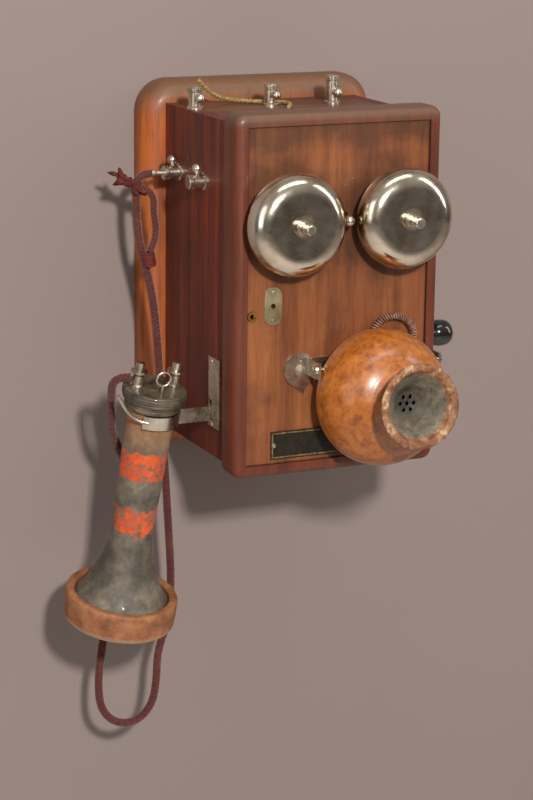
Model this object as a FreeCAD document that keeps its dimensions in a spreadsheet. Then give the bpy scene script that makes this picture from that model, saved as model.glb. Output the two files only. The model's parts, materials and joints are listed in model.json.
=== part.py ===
import FreeCAD, Part
import os
from math import atan2, cos, degrees, hypot, pi, sin, tan

import Sketcher

# Wall crank telephone.  Row frame in millimetres: +X to the right of someone facing the
# telephone, +Y towards the wall, +Z up.  The origin is the centre of the backboard's back face.

Vector = FreeCAD.Vector
Rotation = FreeCAD.Rotation
doc = FreeCAD.newDocument("wall_crank_telephone")
sheet = doc.addObject("Spreadsheet::Sheet", "Sizes")

UPRIGHT = Rotation()
FACING_FRONT = Rotation(Vector(1, 0, 0), 90)
FACING_RIGHT = Rotation(Vector(0, 1, 0), 90)
FACING_LEFT = Rotation(Vector(0, 1, 0), -90)
FACING_BACK = Rotation(Vector(1, 0, 0), -90)


# ------------------------------------------------------------------ sizes and expressions
class Size:
    """A length with its value now and the spreadsheet expression that keeps it up to date."""

    def __init__(self, value, text):
        self.value = float(value)
        self.text = text

    def __add__(self, other):
        return join(self, "+", other, self.value + number(other))

    def __radd__(self, other):
        return join(other, "+", self, number(other) + self.value)

    def __sub__(self, other):
        return join(self, "-", other, self.value - number(other))

    def __rsub__(self, other):
        return join(other, "-", self, number(other) - self.value)

    def __mul__(self, other):
        return join(self, "*", other, self.value * number(other))

    def __rmul__(self, other):
        return join(other, "*", self, number(other) * self.value)

    def __truediv__(self, other):
        return join(self, "/", other, self.value / number(other))

    def __neg__(self):
        return Size(-self.value, "(-1 * %s)" % self.text)


def number(amount):
    """The plain number behind a Size or a number."""
    return amount.value if isinstance(amount, Size) else float(amount)


def words(amount):
    """The expression behind a Size or a number."""
    return amount.text if isinstance(amount, Size) else "%.6f" % amount


def join(left, sign, right, value):
    return Size(value, "(%s %s %s)" % (words(left), sign, words(right)))


def size(alias, value, note):
    """Write one driving dimension in the sheet and return it."""
    size.row += 1
    sheet.set("A%d" % size.row, note)
    sheet.set("B%d" % size.row, str(value))
    sheet.setAlias("B%d" % size.row, alias)
    return Size(value, "Sizes." + alias)


size.row = 0

# backboard, case and door
board_thick = size("board_thick", 20, "backboard thickness")
board_corner = size("board_corner", 21, "backboard corner radius")
board_round = size("board_round", 12, "rounding of the backboard's front edge")
case_width = size("case_width", 135, "case across")
case_height = size("case_height", 214, "case from bottom to top")
board_margin = size("board_margin", 28, "backboard larger than the case, in width and height")
board_width = case_width + board_margin
board_height = case_height + board_margin
case_depth = size("case_depth", 100.8, "case from the backboard to the door")
case_wall = size("case_wall", 9, "case board thickness")
door_over = size("door_over", 5, "door wider than the case")
door_rise = size("door_rise", 13.4, "door taller than the case")
door_width = case_width + door_over
door_height = case_height + door_rise
door_thick = size("door_thick", 18.4, "door thickness at the moulding")
door_gap = size("door_gap", 0.3, "gap between the closed door and the case")
panel_inset = size("panel_inset", 8.4, "width of the door's moulding")
panel_sink = size("panel_sink", 1.3, "depth of the flat panel below the moulding")
door_corner = size("door_corner", 7, "door corner radius")
mould_round = size("mould_round", 5.5, "rounding of the door's moulding")
wall_hole_x = size("wall_hole_x", 100, "wall screw holes, spacing across")
wall_hole_z = size("wall_hole_z", 176, "wall screw holes, spacing in height")
wall_hole_r = size("wall_hole_r", 2.5, "wall screw hole radius")

# clearances
running = size("running", 0.06, "radial clearance of a shaft in its bearing")
loose = size("loose", 0.5, "clearance of a part that passes another")

# ringer
gong_r = size("gong_r", 31.75, "gong radius")
gong_deep = size("gong_deep", 15, "gong depth from rim to crown")
gong_wall = size("gong_wall", 1.6, "gong metal thickness")
gong_shoulder = size("gong_shoulder", 12, "gong shoulder radius")
gong_off = size("gong_off", 12, "gong rim above the door panel")
gong_spread = size("gong_spread", 36.6, "gong centre from the clapper's line")
ringer_x = size("ringer_x", 0.75, "clapper line from the middle of the door")
gong_z = size("gong_z", 47.4, "gong centre height")
gong_post_r = size("gong_post_r", 3, "gong post radius")
clapper_arm = size("clapper_arm", 35, "clapper ball above its pivot")
ball_r = size("ball_r", 3.5, "clapper ball radius")
wire_r = size("wire_r", 1, "clapper rod radius")

# magneto and crank
magneto_y = size("magneto_y", 57, "magneto axis from the wall")
crank_z = size("crank_z", -58, "crank shaft height")
crank_r = size("crank_r", 3, "crank shaft radius")
gear_teeth = 50
pinion_teeth = 10
gear_module = size("gear_module", 0.8, "gear tooth module")
gear_thick = size("gear_thick", 4, "gear face width")
gear_x = size("gear_x", -34, "gears' left face")
armature_r = size("armature_r", 10, "armature radius")
axle_r = size("axle_r", 2, "armature axle radius")
magnet_width = size("magnet_width", 15, "each magnet across")
magnet_gap = size("magnet_gap", 2, "gap between magnets")
magnet_thick = size("magnet_thick", 7, "magnet bar thickness")
magnet_inner = size("magnet_inner", 16, "magnet inside radius")
magneto_x = size("magneto_x", -23, "magnets' left face")
plate_thick = size("plate_thick", 2.5, "magneto end plate thickness")
bushing_r = size("bushing_r", 5.5, "crank bushing radius")
flange_r = size("flange_r", 10, "crank bushing flange radius")
arm_reach_y = size("arm_reach_y", 33, "crank knob in front of the shaft")
arm_reach_z = size("arm_reach_z", 15, "crank knob above the shaft")
arm_thick = size("arm_thick", 4, "crank arm thickness")
arm_out = size("arm_out", 15.9, "crank arm from the case side")
knob_r = size("knob_r", 8.8, "crank knob radius")
knob_long = size("knob_long", 20, "crank knob length")
stud_r = size("stud_r", 2.2, "crank knob stud radius")

# transmitter
mic_edge = size("mic_edge", 39.6, "transmitter axis from the door panel's right edge")
mic_z = size("mic_z", -64.2, "transmitter back centre height")
mic_off = size("mic_off", 15, "transmitter rim in front of the door panel")
mic_r = size("mic_r", 43, "transmitter shell radius")
mic_deep = size("mic_deep", 37, "transmitter shell depth")
mic_dome = size("mic_dome", 31.5, "transmitter dome's section radius")
mic_neck = size("mic_neck", 16.5, "transmitter neck radius")
mouth_r = size("mouth_r", 26.4, "mouthpiece rim radius")
mouth_long = size("mouth_long", 20, "mouthpiece length")
throat_r = size("throat_r", 8, "mouthpiece throat radius")
mic_tilt = 6.5
pivot_off = size("pivot_off", 14, "transmitter pivot in front of the door panel")
pivot_share = size("pivot_share", 0.47, "pivot above the transmitter's axis, as a share of its radius")
pivot_z = mic_z + mic_r * pivot_share
pivot_r = size("pivot_r", 1.5, "transmitter pivot point radius")
ear_in = size("ear_in", 2.1, "bracket ear inside the transmitter's radius")
ear_gap = mic_r - ear_in
ear_thick = size("ear_thick", 1.5, "bracket metal thickness")
lobe_r = size("lobe_r", 10.8, "bracket lobe radius")

# hook switch and receiver
hook_back = size("hook_back", 21.3, "hook arm behind the case's front edge")
hook_y = board_thick + case_depth - hook_back
hook_z = size("hook_z", -79.3, "hook pivot height")
hook_reach = size("hook_reach", 40.9, "receiver axis from the case side")
fork_z = size("fork_z", -71.5, "fork top height at the receiver's axis")
hook_inside = size("hook_inside", 17.5, "hook pivot inside the case side")
hook_tall = size("hook_tall", 9.4, "hook arm height")
hook_thick = size("hook_thick", 2.4, "hook arm thickness")
fork_r = size("fork_r", 16.6, "fork inside radius")
fork_wall = size("fork_wall", 1.5, "fork metal thickness")
fork_tall = size("fork_tall", 8.5, "fork band height")
hook_pin_r = size("hook_pin_r", 2, "hook pivot pin radius")
body_r = size("body_r", 15.2, "receiver body radius under the cap")
waist_r = size("waist_r", 13.3, "receiver body radius at its waist")
waist_down = size("waist_down", 88, "waist below the fork")
bell_down = size("bell_down", 130, "bell flange below the fork")
bell_r = size("bell_r", 30.5, "bell flange radius")
shell_wall = size("shell_wall", 2.6, "receiver wall")
tail_r = size("tail_r", 20.5, "tail cap radius")
tail_tall = size("tail_tall", 13.4, "tail cap height")
ear_r = size("ear_r", 36.5, "ear cap radius")
ear_tall = size("ear_tall", 16.5, "ear cap height")
ear_hole = size("ear_hole", 5, "ear cap sound hole radius")
post_spread = size("post_spread", 12.2, "receiver posts from the receiver's axis")

# posts and cord
line_post_y = size("line_post_y", 55, "line posts from the wall")
line_post_r = size("line_post_r", 4.2, "line post radius")
line_post_tall = size("line_post_tall", 14, "line post height")
end_post_tall = size("end_post_tall", 18, "right line post height")
cord_post_z = size("cord_post_z", 66, "cord posts' height")
cord_post_r = size("cord_post_r", 4.4, "cord post barrel radius")
cord_post_long = size("cord_post_long", 12, "cord post length")
cord_r = size("cord_r", 2.7, "receiver cord radius")
strand_r = size("strand_r", 2.1, "branch strand radius")
lead_r = size("lead_r", 2.4, "transmitter lead radius over its coil")
jumper_r = size("jumper_r", 1.3, "jumper wire radius")

half_board = board_width / 2
half_case = case_width / 2
case_inside = half_case - case_wall
arm_x = half_case + arm_out
case_top_z = case_height / 2
case_front = -(board_thick + case_depth)
door_back = case_front - door_gap
door_front = door_back - door_thick
panel_y = door_front + panel_sink
half_door = door_width / 2
panel_half = half_door - panel_inset
mic_x = panel_half - mic_edge

# hinges and lock
hinge_pin_r = size("hinge_pin_r", 1.3, "hinge pin radius")
knuckle_r = size("knuckle_r", 2.6, "hinge knuckle radius")
hinge_out = size("hinge_out", 1, "hinge pin outside the door's edge")
lock_x = size("lock_x", -44.2, "lock escutcheon from the middle of the door")
lock_z = size("lock_z", -4.7, "lock height")
bolt_wide = size("bolt_wide", 6, "lock bolt across")
bolt_throw = size("bolt_throw", 5.5, "lock bolt travel")
hinge_x = half_door + hinge_out
hinge_y = case_front - door_gap / 2
lock_y = door_back + 6

# heights and places that are chosen one by one
HINGE_Z = (70, -84)
LINE_POST_X = (6 - half_case, -9.3, 34.2)
CORD_POST_Y = (45, 86)
EYELET = (-58, -10.5)


# ------------------------------------------------------------------ ways of making a piece
POST_STUD_R = 1.6
LEAF_THICK = 1.4
LOBE = (mic_x - ear_gap - 6.6, -46.4)
BRACKET_SCREW_X = (LOBE[0], 8, 40)
NAMEPLATE = (-18.5, -93.6)
COIL = (0, 0, 70)
MIC_TURN = Rotation(Vector(1, 0, 0), 90 - mic_tilt)
RECEIVER_TURN = Rotation(Vector(0, 0, 1), Vector(12.6, -29, 148))

CORD_ROUTE = [
    (-87.6, -45, 66), (-93.5, -45, 66), (-97.5, -45, 61), (-97.8, -45, 52), (-97.5, -45, 38),
    (-96, -45.5, 24), (-92, -46, 8), (-87, -47, -14), (-84, -48, -45), (-81.5, -47, -84),
    (-78.5, -46, -124), (-75, -44, -168), (-71.5, -41, -208), (-74, -42, -236), (-83, -44.5, -256),
    (-84.2, -46, -275), (-88, -48.5, -291), (-99.5, -50.5, -301), (-114.5, -50.5, -300.5),
    (-125, -48.5, -290), (-126, -46, -271), (-121.5, -42, -248.9), (-113.8, -33, -227.7), (-105.5, -30, -207.4),
    (-100.5, -34, -184.4), (-100.7, -44, -159.4), (-105.2, -54, -135.7), (-111.6, -62, -116.8),
    (-120.4, -69, -102.8), (-127, -76, -89.8), (-129.5, -83, -76.8), (-131.6, -90.0, -65.1), (-133.2, -95.2, -55.8),
    (-131.1, -100.5, -50.5), (-123.4, -103.1, -50.2)]
BRANCH_ROUTE = [
    (-103.5, -47, 62), (-98, -50.4, 58.7), (-91.6, -51.3, 56.6), (-87.7, -51.3, 50.6), (-87.9, -50.2, 42.2),
    (-85.7, -49.2, 32.9), (-86.1, -49.2, 25.2), (-88.7, -49, 19.2), (-89.5, -48.9, 16.2)]
LEAD_DOOR = (52, -131, -36)
LEAD_MIC = (22, -152.6, -36.5)
MIC_SHIFT = mic_x - 22
LEAD_ROUTE = [
    LEAD_DOOR, (52, -141.9, -36), (51.8, -142.4, -25.2), (46, -142.6, -18.3), (37.5, -142.2, -15.7),
    (28, -142, -18.5), (22, -141.9, -25.7), (22, -141.9, -36.5), LEAD_MIC]
HORN_ROUTE = [
    (-116.5, -114.2, -78), (-122, -112.5, -76.5), (-126.5, -111, -73), (-130.5, -110.3, -68), (-135, -110,
                                                                                               -59.5)]
JUMPER_ROUTE = [
    (-56, -46, 124.5), (-49.5, -43.5, 118), (-41.5, -40, 113), (-32, -37, 110), (-23, -37.5, 108.9),
    (-16, -42, 108.6), (-10.8, -45.8, 108.5), (-1.2, -48, 108.5), (2.4, -57.3, 108.5), (-1, -67, 108.5),
    (-7.5, -77.5, 108.5)]


def shifted(route, x=0, y=0, z=0):
    """The same route moved with the piece that it hangs from."""
    return [(a + number(x), b + number(y), c + number(z)) for a, b, c in route]


def hung(route, loop_start, loop_end, end_y):
    """A hanging cord's route: past its low loop it moves with the piece at its far end."""
    shares = [min(1, max(0, (index - loop_start) / (loop_end - loop_start))) for index in range(len(route))]
    return [(a, b + number(end_y) * share, c) for (a, b, c), share in zip(route, shares)]


def bind(thing, prop, amount):
    """Give a property its value, and its expression where it has one."""
    setattr(thing, prop, number(amount))
    if isinstance(amount, Size):
        thing.setExpression(prop, amount.text)


def place(thing, x, y, z, turn=UPRIGHT):
    """Put a piece at a point, turned, with the point tied to the sheet."""
    thing.Placement = FreeCAD.Placement(Vector(number(x), number(y), number(z)), turn)
    for axis, amount in (("x", x), ("y", y), ("z", z)):
        if isinstance(amount, Size):
            thing.setExpression("Placement.Base." + axis, amount.text)
    return thing


def block(name, low, high):
    """A box between its lowest and highest corners."""
    box = doc.addObject("Part::Box", name)
    for prop, start, end in zip(("Length", "Width", "Height"), low, high):
        bind(box, prop, end - start)
    return place(box, *low)


def rod(name, start, radius, length, turn=UPRIGHT):
    """A cylinder from a point along its own axis."""
    cylinder = doc.addObject("Part::Cylinder", name)
    bind(cylinder, "Radius", radius)
    bind(cylinder, "Height", length)
    return place(cylinder, *start, turn)


def ball(name, centre, radius):
    sphere = doc.addObject("Part::Sphere", name)
    bind(sphere, "Radius", radius)
    return place(sphere, *centre)


def ring(name, centre, big, small, turn=UPRIGHT):
    torus = doc.addObject("Part::Torus", name)
    bind(torus, "Radius1", big)
    bind(torus, "Radius2", small)
    return place(torus, *centre, turn)


def united(name, *pieces):
    fuse = doc.addObject("Part::MultiFuse", name)
    fuse.Shapes = list(pieces)
    return fuse


def group(name, *pieces):
    """Several separate solids that share one node."""
    compound = doc.addObject("Part::Compound", name)
    compound.Links = list(pieces)
    return compound


def cut(name, base, *tools):
    """The base with each tool's space taken out."""
    for index, tool in enumerate(tools):
        step = doc.addObject("Part::Cut", name if index == len(tools) - 1 else "%s_cut%d" % (name, index))
        step.Base = base
        step.Tool = tool
        base = step
    return base


def plane(body, role):
    """One of a body's own origin planes."""
    return next(item for item in body.Origin.OriginFeatures if item.Role == role)


def outline(sketch, steps):
    """Draw a closed chain in a sketch.

    A step is the point (u, v) that a line runs to, or (u, v, centre u, centre v, free) for
    an arc that ends there, where free names the coordinate that the arc itself settles.
    """
    ends = [(number(step[0]), number(step[1])) for step in steps]
    corners = []
    for index, step in enumerate(steps):
        start, end = ends[index - 1], ends[index]
        if len(step) == 2:
            shape = Part.LineSegment(Vector(*start, 0), Vector(*end, 0))
            first, last = 1, 2
        else:
            middle = (number(step[2]), number(step[3]))
            begin = atan2(start[1] - middle[1], start[0] - middle[0])
            finish = atan2(end[1] - middle[1], end[0] - middle[0])
            anticlockwise = (finish - begin) % (2 * pi) < pi
            low, high = (begin, finish) if anticlockwise else (finish, begin)
            if high <= low:
                high += 2 * pi
            circle = Part.Circle(Vector(*middle, 0), Vector(0, 0, 1),
                                 hypot(start[0] - middle[0], start[1] - middle[1]))
            shape = Part.ArcOfCircle(circle, low, high)
            first, last = (1, 2) if anticlockwise else (2, 1)
        corners.append((sketch.addGeometry(shape, False), first, last))
    for index, (edge, first, last) in enumerate(corners):
        following, its_first = corners[(index + 1) % len(corners)][:2]
        sketch.addConstraint(Sketcher.Constraint("Coincident", edge, last, following, its_first))
        step = steps[index]
        free = step[4] if len(step) == 5 else ""
        measures = [("DistanceX", last, step[0])] * (free != "u") + [("DistanceY", last,
                                                                      step[1])] * (free != "v")
        if len(step) == 5:
            measures += [("DistanceX", 3, step[2]), ("DistanceY", 3, step[3])]
        for kind, point, amount in measures:
            constraint = sketch.addConstraint(
                Sketcher.Constraint(kind, -1, 1, edge, point, number(amount)))
            if isinstance(amount, Size):
                sketch.setExpression("Constraints[%d]" % constraint, amount.text)


def turned(name, steps, x, y, z, turn=UPRIGHT):
    """A lathe-turned piece: an outline of (radius, height) spun round its own axis."""
    body = doc.addObject("PartDesign::Body", name)
    sketch = body.newObject("Sketcher::SketchObject", name + "_profile")
    sketch.AttachmentSupport = [(plane(body, "XZ_Plane"), "")]
    sketch.MapMode = "FlatFace"
    outline(sketch, steps)
    spin = body.newObject("PartDesign::Revolution", name + "_spin")
    spin.Profile = sketch
    spin.ReferenceAxis = (sketch, ["V_Axis"])
    spin.Angle = 360
    return place(body, x, y, z, turn)


def plate(name, steps, thickness, x, y, z, turn=UPRIGHT):
    """A flat piece: an outline in the XY plane of its own body, padded upwards."""
    body = doc.addObject("PartDesign::Body", name)
    sketch = body.newObject("Sketcher::SketchObject", name + "_profile")
    sketch.AttachmentSupport = [(plane(body, "XY_Plane"), "")]
    sketch.MapMode = "FlatFace"
    outline(sketch, steps)
    pad = body.newObject("PartDesign::Pad", name + "_pad")
    pad.Profile = sketch
    bind(pad, "Length", thickness)
    return place(body, x, y, z, turn)


def rounded(width, height, corner):
    """The outline of a rectangle with round corners, centred on the origin."""
    u, v = width / 2, height / 2
    return [(u, v - corner), (u - corner, v, u - corner, v - corner, "v"),
            (corner - u, v), (-u, v - corner, corner - u, v - corner, "u"),
            (-u, corner - v), (corner - u, -v, corner - u, corner - v, "v"),
            (u - corner, -v), (u, corner - v, u - corner, corner - v, "u")]


def soften(body, radius, wanted):
    """Fillet the edges of a body's tip that the test picks."""
    doc.recompute()
    tip = body.Tip
    names = ["Edge%d" % (index + 1) for index, edge in enumerate(tip.Shape.Edges) if wanted(edge)]
    fillet = body.newObject("PartDesign::Fillet", body.Name + "_fillet")
    fillet.Base = (tip, names)
    bind(fillet, "Radius", radius)
    body.Tip = fillet
    return body


def at_height(z):
    """A test for edges that lie flat at a height in the body's own frame."""
    return lambda edge: abs(edge.BoundBox.ZMin - z) < 1e-4 and abs(edge.BoundBox.ZMax - z) < 1e-4


def screw(name, x, y, z, turn, head, shank, length):
    """A round-head wood screw with its head's flat side at the point and its shank behind."""
    rise = 0.55 * head
    return turned(name, [(0, -length), (shank, 1 - length), (shank, 0), (head, 0),
                         (0.7 * head, 0.8 * rise), (0, rise)], x, y, z, turn)


def pilot(name, x, y, z, turn, radius, length):
    """The hole for a screw's shank, from the plane its head stands on."""
    out = turn.multVec(Vector(0, 0, 1))
    start = (x - round(out.x) * length, y - round(out.y) * length, z - round(out.z) * length)
    return rod(name, start, radius, length, turn)


def tube(name, points, radius):
    """A cord's solid: straight runs joined by tangent arcs, and its radii printed."""
    route = [Vector(*point) for point in points]
    edges, radii, here = [], [], route[0]
    for before, corner, after in zip(route, route[1:], route[2:]):
        arriving, leaving = (corner - before), (after - corner)
        half_turn = arriving.getAngle(leaving) / 2
        bend = 0.45 * min(arriving.Length, leaving.Length) / tan(half_turn)
        reach = 0.45 * min(arriving.Length, leaving.Length)
        arriving.normalize()
        leaving.normalize()
        start, end = corner - arriving * reach, corner + leaving * reach
        inward = leaving - arriving
        inward.normalize()
        middle = corner + inward * (bend / cos(half_turn) - bend)
        edges += [Part.LineSegment(here, start).toShape(), Part.Arc(start, middle, end).toShape()]
        radii.append(round(bend, 1))
        here = end
    edges.append(Part.LineSegment(here, route[-1]).toShape())
    path = Part.Wire(edges)
    section = Part.Wire(Part.Circle(route[0], route[1] - route[0], number(radius)).toShape())
    piece = doc.addObject("Part::Feature", name)
    piece.Shape = path.makePipeShell([section], True, True)
    ideal = pi * number(radius) ** 2 * path.Length
    print(name, "length", round(path.Length, 1), "radii", radii,
          "volume ratio", round(piece.Shape.Volume / ideal, 4))
    return piece


def gear_shape(teeth, module, thick, bore, offset):
    """A spur gear blank along +X with straight-sided teeth, its first tooth at an angle."""
    pitch = number(module) * teeth / 2
    pitch_width = pi * number(module)
    levels = ((pitch - 1.15 * number(module), 0.62), (pitch, 0.45), (pitch + 0.75 * number(module), 0.26))
    rim = []
    for tooth in range(teeth):
        angle = offset + 2 * pi * tooth / teeth
        for side in (-1, 1):
            for radius, share in levels[::side * -1]:
                turn = angle + side * share * pitch_width / 2 / radius
                rim.append(Vector(0, radius * cos(turn), radius * sin(turn)))
    face = Part.Face(Part.makePolygon(rim + [rim[0]]))
    solid = face.extrude(Vector(number(thick), 0, 0))
    return solid.cut(Part.makeCylinder(number(bore), number(thick), Vector(0, 0, 0), Vector(1, 0, 0)))


# ------------------------------------------------------------------ backboard and case
def escutcheon_screws():
    return [(lock_x, panel_y - 1, lock_z + 9), (lock_x, panel_y - 1, lock_z - 9)]


def nameplate_pins():
    plate_x, plate_z = NAMEPLATE
    return [(plate_x - 24, panel_y - 0.8, plate_z), (plate_x + 24, panel_y - 0.8, plate_z)]


def bracket_screws():
    return [(x, panel_y - ear_thick, LOBE[1]) for x in BRACKET_SCREW_X]


def hook_plate_screws():
    return [(-half_case - 1.2, -hook_y - 2, hook_z + 34), (-half_case - 1.2, -hook_y - 2.2, hook_z - 6.7)]


def leaf_screws():
    return [(half_case + LEAF_THICK, case_front + 11, z + end) for z in HINGE_Z for end in (-9, 9)]


def make_backboard():
    slab = plate("backboard_slab", rounded(board_width, board_height, board_corner), board_thick,
                 0, 0, 0, FACING_FRONT)
    soften(slab, board_round, at_height(number(board_thick)))
    holes = [rod("wall_hole_%d%d" % (column, row), (side * wall_hole_x / 2, 1, level * wall_hole_z / 2),
                 wall_hole_r, board_thick + 2, FACING_FRONT)
             for column, side in enumerate((-1, 1)) for row, level in enumerate((-1, 1))]
    cut("backboard", slab, *holes)


def make_case():
    low, high = -case_top_z, case_top_z
    left = block("left_board", (-half_case, case_front, low), (-case_inside, -board_thick, high))
    slot = block("hook_slot",
                 (-half_case - 1, -hook_y - hook_thick / 2 - loose, hook_z - hook_tall / 2 - loose),
                 (1 - case_inside, loose + hook_thick / 2 - hook_y, hook_z + hook_tall / 2 + 4))
    mortise = block("bolt_mortise",
                    (-case_inside - bolt_throw - 0.5, lock_y - bolt_wide / 2 - 1, lock_z - bolt_wide / 2 - 1),
                    (1 - case_inside, lock_y + bolt_wide / 2 + 1, lock_z + bolt_wide / 2 + 1))
    studs = [rod("cord_stud_hole%d" % index, (-half_case - 1, -y, cord_post_z), POST_STUD_R, case_wall + 2,
                 FACING_RIGHT) for index, y in enumerate(CORD_POST_Y)]
    studs.append(rod("end_stud_hole", (LINE_POST_X[0], -line_post_y, high - case_wall), POST_STUD_R,
                     case_wall + 1))
    studs += [pilot("plate_pilot%d" % index, *place_at, FACING_LEFT, 0.9, 8)
              for index, place_at in enumerate(hook_plate_screws())]
    cut("case_left_side", left, slot, mortise, *studs)
    right = block("right_board", (case_inside, case_front, low), (half_case, -board_thick, high))
    bore = rod("bushing_hole", (case_inside - 1, -magneto_y, crank_z), bushing_r, case_wall + 2, FACING_RIGHT)
    pilots = [pilot("leaf_pilot%d" % index, *place_at, FACING_RIGHT, 1, 8)
              for index, place_at in enumerate(leaf_screws())]
    cut("case_right_side", right, bore, *pilots)
    top = block("top_board", (-case_inside, case_front, high - case_wall), (case_inside, -board_thick, high))
    studs = [rod("line_stud_hole%d" % index, (x, -line_post_y, high - case_wall - 1), POST_STUD_R,
                 case_wall + 2) for index, x in enumerate(LINE_POST_X[1:])]
    cut("case_top", top, *studs)
    block("case_bottom", (-case_inside, case_front, low), (case_inside, -board_thick, low + case_wall))


# ------------------------------------------------------------------ door, hinges and lock
def make_door():
    slab = plate("door_slab", rounded(door_width, door_height, door_corner), door_thick,
                 0, door_back, 0, FACING_FRONT)
    soften(slab, mould_round, at_height(number(door_thick)))
    through = door_thick + 2
    tools = [
        block("panel_recess", (-panel_half, door_front - 1, panel_inset - door_height / 2),
              (panel_half, panel_y, door_height / 2 - panel_inset)),
        block("clapper_slot", (ringer_x - 5, door_front - 1, gong_z - 3),
              (ringer_x + 5, door_back + 1, gong_z + 3)),
        rod("keyhole_bore", (lock_x, door_back + 1, lock_z), 1.6, through, FACING_FRONT),
        rod("eyelet_hole", (EYELET[0], door_back + 1, EYELET[1]), 2.2, through, FACING_FRONT),
        rod("lead_hole", (LEAD_DOOR[0] + MIC_SHIFT, door_back + 1, LEAD_DOOR[2]), lead_r + loose, through, FACING_FRONT)]
    tools += [pilot("trim_pilot%d" % index, *place_at, FACING_FRONT, 0.8, 8)
              for index, place_at in enumerate(escutcheon_screws() + nameplate_pins())]
    tools += [pilot("bracket_pilot%d" % index, *place_at, FACING_FRONT, 1.6, 12)
              for index, place_at in enumerate(bracket_screws())]
    for index, z in enumerate(HINGE_Z):
        tools.append(rod("knuckle_recess%d" % index, (hinge_x, hinge_y, z - 15.5), knuckle_r + loose, 31))
        tools.append(block("leaf_recess%d" % index, (half_door - 14, door_back - LEAF_THICK, z - 14),
                           (half_door + 1, door_back + 1, z + 14)))
    cut("door", slab, *tools)
    turned("door_eyelet", [(1.2, -12), (2.2, -12), (2.2, 0), (3.4, 0), (3, 0.8), (1.7, 0.8), (1.2, 0)],
           EYELET[0], panel_y, EYELET[1], FACING_FRONT)


def make_hinges():
    """Butt hinges: the case leaf carries the middle knuckle and the door leaf the outer two."""
    case_leaves, door_leaves, pins = [], [], []
    for index, z in enumerate(HINGE_Z):
        flap = block("case_flap%d" % index, (half_case, case_front + 3.4, z - 14),
                     (half_case + LEAF_THICK, case_front + 18, z + 14))
        web = block("case_web%d" % index, (half_case, case_front + 0.2, z - 5),
                    (half_case + LEAF_THICK, case_front + 4, z + 5))
        barrel = rod("case_barrel%d" % index, (hinge_x, hinge_y, z - 5), knuckle_r, 10)
        arm = block("case_barrel_arm%d" % index, (half_case, case_front + 0.2, z - 5),
                    (hinge_x, case_front + 1.6, z + 5))
        hole = rod("case_pin_hole%d" % index, (hinge_x, hinge_y, z - 16), hinge_pin_r, 32)
        pilots = [pilot("flap_pilot%d%d" % (index, end), *place_at, FACING_RIGHT, 1, 8)
                  for end, place_at in enumerate(leaf_screws()[2 * index:2 * index + 2])]
        case_leaves.append(cut("case_hinge%d" % index,
                               united("case_hinge_solid%d" % index, flap, web, barrel, arm), hole, *pilots))
        outer = [rod("door_barrel%d%d" % (index, end), (hinge_x, hinge_y, z + start), knuckle_r, 8.7)
                 for end, start in enumerate((-14, 5.3))]
        flange = block("door_flap%d" % index, (half_door - 14, door_back - LEAF_THICK, z - 14),
                       (hinge_x, door_back, z + 14))
        gap = rod("door_knuckle_gap%d" % index, (hinge_x, hinge_y, z - 5.3), knuckle_r + loose, 10.6)
        solid = cut("door_hinge_solid%d" % index, united("door_hinge_union%d" % index, flange, *outer), gap)
        hole = rod("door_pin_hole%d" % index, (hinge_x, hinge_y, z - 16), hinge_pin_r + running, 32)
        door_leaves.append(cut("door_hinge%d" % index, solid, hole))
        pins.append(rod("hinge_pin%d" % index, (hinge_x, hinge_y, z - 15), hinge_pin_r, 30))
    group("case_hinge_leaves", *case_leaves)
    group("door_hinge_leaves", *door_leaves)
    group("hinge_pins", *pins)


def make_lock():
    shield = plate("escutcheon_blank", rounded(11.8, 23.6, 5.8), 1,
                   lock_x, panel_y, lock_z, FACING_FRONT)
    pilots = [pilot("shield_pilot%d" % index, *place_at, FACING_FRONT, 0.8, 8)
              for index, place_at in enumerate(escutcheon_screws())]
    cut("lock_escutcheon", shield, rod("keyhole", (lock_x, panel_y + 1, lock_z), 1.6, 4, FACING_FRONT),
        *pilots)
    case = block("lock_case", (lock_x - 9, door_back, lock_z - 13),
                 (lock_x + 12, door_back + 12, lock_z + 13))
    way = block("bolt_way", (lock_x - 10, lock_y - bolt_wide / 2 - 0.15, lock_z - bolt_wide / 2 - 0.15),
                (lock_x + 9, lock_y + bolt_wide / 2 + 0.15, lock_z + bolt_wide / 2 + 0.15))
    cut("lock_body", case, way)
    block("lock_bolt", (loose - case_inside + 0.5, lock_y - bolt_wide / 2, lock_z - bolt_wide / 2),
          (lock_x + 8, lock_y + bolt_wide / 2, lock_z + bolt_wide / 2))


def make_door_trim():
    blank = plate("nameplate_blank", [(26.2, -8.9), (26.2, 8.9), (-26.2, 8.9), (-26.2, -8.9)], 0.8,
                  NAMEPLATE[0], panel_y, NAMEPLATE[1], FACING_FRONT)
    cut("nameplate", blank, *[pilot("plate_pin_hole%d" % index, *place_at, FACING_FRONT, 0.8, 8)
                              for index, place_at in enumerate(nameplate_pins())])
    screws = [screw("door_screw%d" % index, *place_at, FACING_FRONT, 1.6, 0.8, 8)
              for index, place_at in enumerate(escutcheon_screws() + nameplate_pins())]
    screws += [screw("bracket_screw%d" % index, *place_at, FACING_FRONT, 3.4, 1.6, 12)
               for index, place_at in enumerate(bracket_screws())]
    group("door_screws", *screws)


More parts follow.
